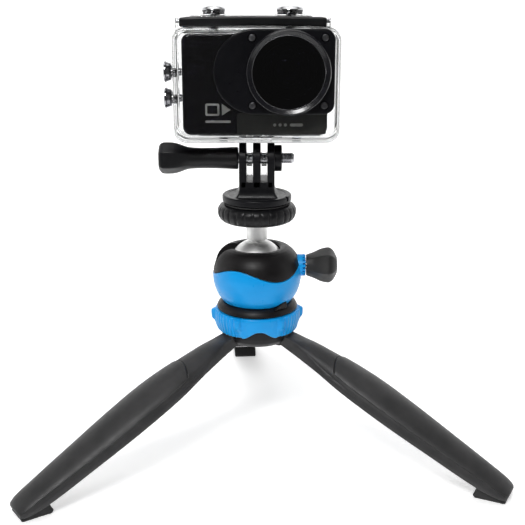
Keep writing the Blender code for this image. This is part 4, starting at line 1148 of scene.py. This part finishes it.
def make_side_buttons():
    for name, centre in side_button_places():
        (outer, inner), _, z = span(f"{name}_button")
        radius = 0.5 * (z[1] - z[0])
        shut, roof = SIDE_CAP_INNER, SIDE_CAP_INNER - POCKET_DEPTH
        rim = [(2.4, outer + 0.25), (2.0, outer), (0.5, outer + 0.1), (0.0, outer + 0.4),
               (0.0, outer + 1.0), (0.35, outer + 1.3), (0.7, shut - 0.6), (1.0, shut)]
        stem = [(POCKET_R, shut), (POCKET_R, roof), (STEM_R, roof), (STEM_R, inner - 0.3),
                (STEM_R - 0.3, inner)]
        profile = [(0.5, outer + 0.3)] + [(radius - inward, x) for inward, x in rim] + stem
        stand_in(f"{name}_cap", lathe(profile, "X", centre, 72, 0.12), CHROME_X, f"{name}_button")
        made = make_spring(name, "X", centre, roof + 0.05, span(f"{name}_spring")[0][1], 0.2, STEEL_X)
        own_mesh(made)
        low, high = span(f"camera_{name}_key")[0]
        make_key(name, "X", centre, [(2.0, low), (2.2, low + 0.2), (2.2, high)], CHROME_X)


# ---- camera

CAM_CORNER = 3.4
CAM_WALL = 1.8
CAM_EDGE = 1.1
LENS_HOLE_R = 11.3


def camera_outline(inward):
    x, _, z = span("camera_front_shell")
    return shrunk(x, z, CAM_CORNER, inward, 8)


def make_camera():
    centre = facing_centre("lens_barrel")
    (x0, x1), (front, split), (z0, _) = span("camera_front_shell")
    back = span("camera_back_shell")[1]
    hole = rod("Y", LENS_HOLE_R, -20.0, 0.0, centre, 96, 0.02)
    wells = stem_holes(2.6) + side_holes(2.4, -35.0, -27.0)      # for the camera's keys
    shell = carved(tub(camera_outline, front, split, CAM_WALL, CAM_EDGE), hole, *wells)
    stand_in("camera_front", shell, CAMERA, "camera_front_shell", sharp=40)
    outline = rounded((x0 + 22.2, x1 - 0.5), (z0 + 0.5, z0 + 9.2), 0.9, 5)
    strip = pillow(outline, "Y", front - 0.25, front + 0.1, 0.15)
    piece("camera_lower_strip", strip, CAMERA_MATTE, "camera_front_shell")
    rear = tub(camera_outline, back[1], back[0], CAM_WALL, CAM_EDGE)
    window = pillow(rounded((-22.3, 21.0), (149.5, 182.0), 0.6, 4), "Y", 0.0, 15.0, 0.02, 1)
    stand_in("camera_rear", carved(rear, window), CAMERA, "camera_back_shell", sharp=40)
    sx, sy, sz = span("rear_screen")
    stand_in("rear_display", pillow(rounded(sx, sz, 0.5, 4), "Y", *sy, 0.15), SCREEN, "rear_screen")
    lamp = rod("Y", 0.7, back[1] - 0.1, back[1] + 0.08, (24.8, 179.0), 32, 0.05)
    piece("status_lamp", lamp, NYLON, "camera_back_shell")
    make_marks(front)
    make_lens(centre)


def make_marks(front):
    """Generic printed signs: a square frame, a triangle and a bar, and a row of dots and a bar."""
    def printed(outline, low, high):
        return pillow(outline, "Y", low, high, 0.02, 1)

    low, high = front - 0.05, front + 0.05
    window = printed(rounded((-20.2, -16.0), (154.1, 157.5), 0.4, 4), low - 1, high + 1)
    square = carved(printed(rounded((-21.0, -15.2), (153.3, 158.3), 0.8, 5), low, high), window)
    triangle = printed([(-14.2, 153.4), (-10.6, 155.8), (-14.2, 158.2)], low, high)
    bar = printed(rounded((-21.0, -10.6), (150.4, 151.4), 0.45, 4), low, high)
    piece("printed_sign_left", together(square, triangle, bar), MARK, "camera_front_shell")
    low, high = front - 0.30, front - 0.20     # on the lower strip
    dots = [rod("Y", 0.65, low, high, (7.4 + 2.2 * i, 149.6), 24, 0.02) for i in range(3)]
    pill = printed(rounded((13.6, 19.0), (149.0, 150.2), 0.55, 4), low, high)
    piece("printed_sign_right", together(pill, *dots), MARK, "camera_front_shell")


def make_lens(centre):
    """Stepped barrel, a domed front element and the parts behind it."""
    y0, y1 = span("lens_barrel")[1]
    steps = [(11.0, 0.3), (10.7, 0.0), (9.6, 0.0), (9.3, 0.5), (8.6, 0.6), (8.3, 1.2), (7.4, 1.4),
             (7.1, 1.9), (6.2, 2.1), (5.7, 2.4)]
    barrel = [(radius, y0 + depth) for radius, depth in steps]
    barrel += [(5.6, y1), (7.0, y1), (7.0, -4.0), (11.0, -4.0)]
    stand_in("lens_tube", turned(barrel, "Y", centre, 96, soft=0.12), PORT, "lens_barrel")
    low, high = span("lens_element")[1]
    turns = [radians(8 + 82 * i / 10) for i in range(11)]
    rim = high - 0.8
    dome = [(5.3 * sin(t), rim - (rim - low) * cos(t)) for t in turns]
    element = lathe(dome + [(5.2, high)], "Y", centre, 96, 0.0)
    stand_in("front_element", element, LENS, "lens_element", flat=False)


def paint_hidden_nodes():
    """Nodes that stay as the CAD made them: sealed inside the camera."""
    for node_name, paint in (("battery", BATTERY), ("main_board", BOARD), ("image_sensor", SCREEN)):
        materials = frame["nodes"][node_name].data.materials
        materials.clear()
        materials.append(paint)


# ---- studio

FLOOR_GLOW = 0.55              # lifts the shadows on the floor
VIEW_LENS = 68.57
VIEW_PLACE = (2.4, -420.0, 215.5)   # from the hub's axis
VIEW_DOWN = 17                 # degrees


def make_floor():
    """Pale sweep: a floor that curves up into a wall behind the object."""
    made, tree, shader = new_material("studio_floor")
    patches = ranged(tree, noise(tree, 300.0), 0.0, 1.0)
    tone = mixed(tree, patches, grey(0.88), grey(0.91))
    feed(tree, shader, Base_Color=tone, Roughness=0.8, Specular_IOR_Level=0.1, Emission_Color=tone,
         Emission_Strength=FLOOR_GLOW)
    front, bend, reach, height, half_width = -0.35, 0.5, 1.1, 2.2, 4.0
    line = [(front, 0.0), (reach, 0.0)]
    turns = [radians(6 * i) for i in range(1, 15)]
    line += [(reach + bend * sin(t), bend * (1 - cos(t))) for t in turns]
    line += [(reach + bend, bend), (reach + bend, height)]
    shape = bmesh.new()
    left = [shape.verts.new((-half_width, y, z)) for y, z in line]
    right = [shape.verts.new((half_width, y, z)) for y, z in line]
    for i in range(len(line) - 1):
        shape.faces.new((left[i], right[i], right[i + 1], left[i + 1]))
    mesh = as_mesh("studio_floor", shape)
    mesh.shade_smooth()
    mesh.materials.append(made)
    floor = linked("studio_floor", mesh)


LIGHTS = [                     # name, place and aim in metres, size, watts, spread in degrees
    ("top", (0.0, 0.45, 1.2), (0.0, 0.45, 0.0), (1.6, 1.1), 2.2, 80),
    ("backdrop", (0.0, 0.90, 1.3), (0.0, 1.5, 0.5), (2.4, 0.5), 9.0, 120),
    ("left", (-0.55, 0.0, 0.28), (0.0, 0.0, 0.12), (0.35, 0.5), 0.16, 90),
    ("right", (0.60, -0.05, 0.30), (0.0, 0.0, 0.12), (0.35, 0.5), 0.12, 90),
    ("key", (-0.22, -0.88, 0.97), (0.0, 0.0, 0.10), (0.35, 0.35), 0.52, 36),
]


def area_light(name, place, aim, size, power, spread):
    """A soft box that shines towards its aim."""
    data = bpy.data.lights.new(name, "AREA")
    data.shape = "RECTANGLE"
    data.size, data.size_y = size
    data.energy = power
    data.spread = radians(spread)
    lamp = linked(name, data)
    lamp.location = place
    lamp.rotation_euler = (Vector(aim) - Vector(place)).to_track_quat("-Z", "Y").to_euler()


def make_light():
    """Soft boxes over, beside and behind the object, and one small key light high in front."""
    world = bpy.data.worlds.new("studio")
    bpy.context.scene.world = world
    world.use_nodes = True
    tree = world.node_tree
    feed(tree, tree.nodes["Background"], Color=(1.0, 1.0, 1.0, 1.0), Strength=0.10)
    for light in LIGHTS:
        area_light(*light)
    bpy.context.scene.view_settings.view_transform = "Standard"


def make_camera_view():
    """The photograph's view: a long lens in front of the object, looking down on it."""
    data = bpy.data.cameras.new("view")
    data.sensor_width = 36.0
    data.lens = VIEW_LENS
    viewer = linked("view", data)
    viewer.location = AXIS + Vector(VIEW_PLACE) * MM
    viewer.rotation_euler = (radians(90 - VIEW_DOWN), 0.0, 0.0)
    bpy.context.scene.camera = viewer


make_legs()
make_hub()
make_leg_ring()
make_ball_head()
make_lock_knob()
make_platform()
make_adapter()
make_thumbscrew()
make_case_front()
make_case_door()
make_latch()
make_lens_port()
make_top_buttons()
make_side_buttons()
make_camera()
paint_hidden_nodes()
make_floor()
make_light()
make_camera_view()
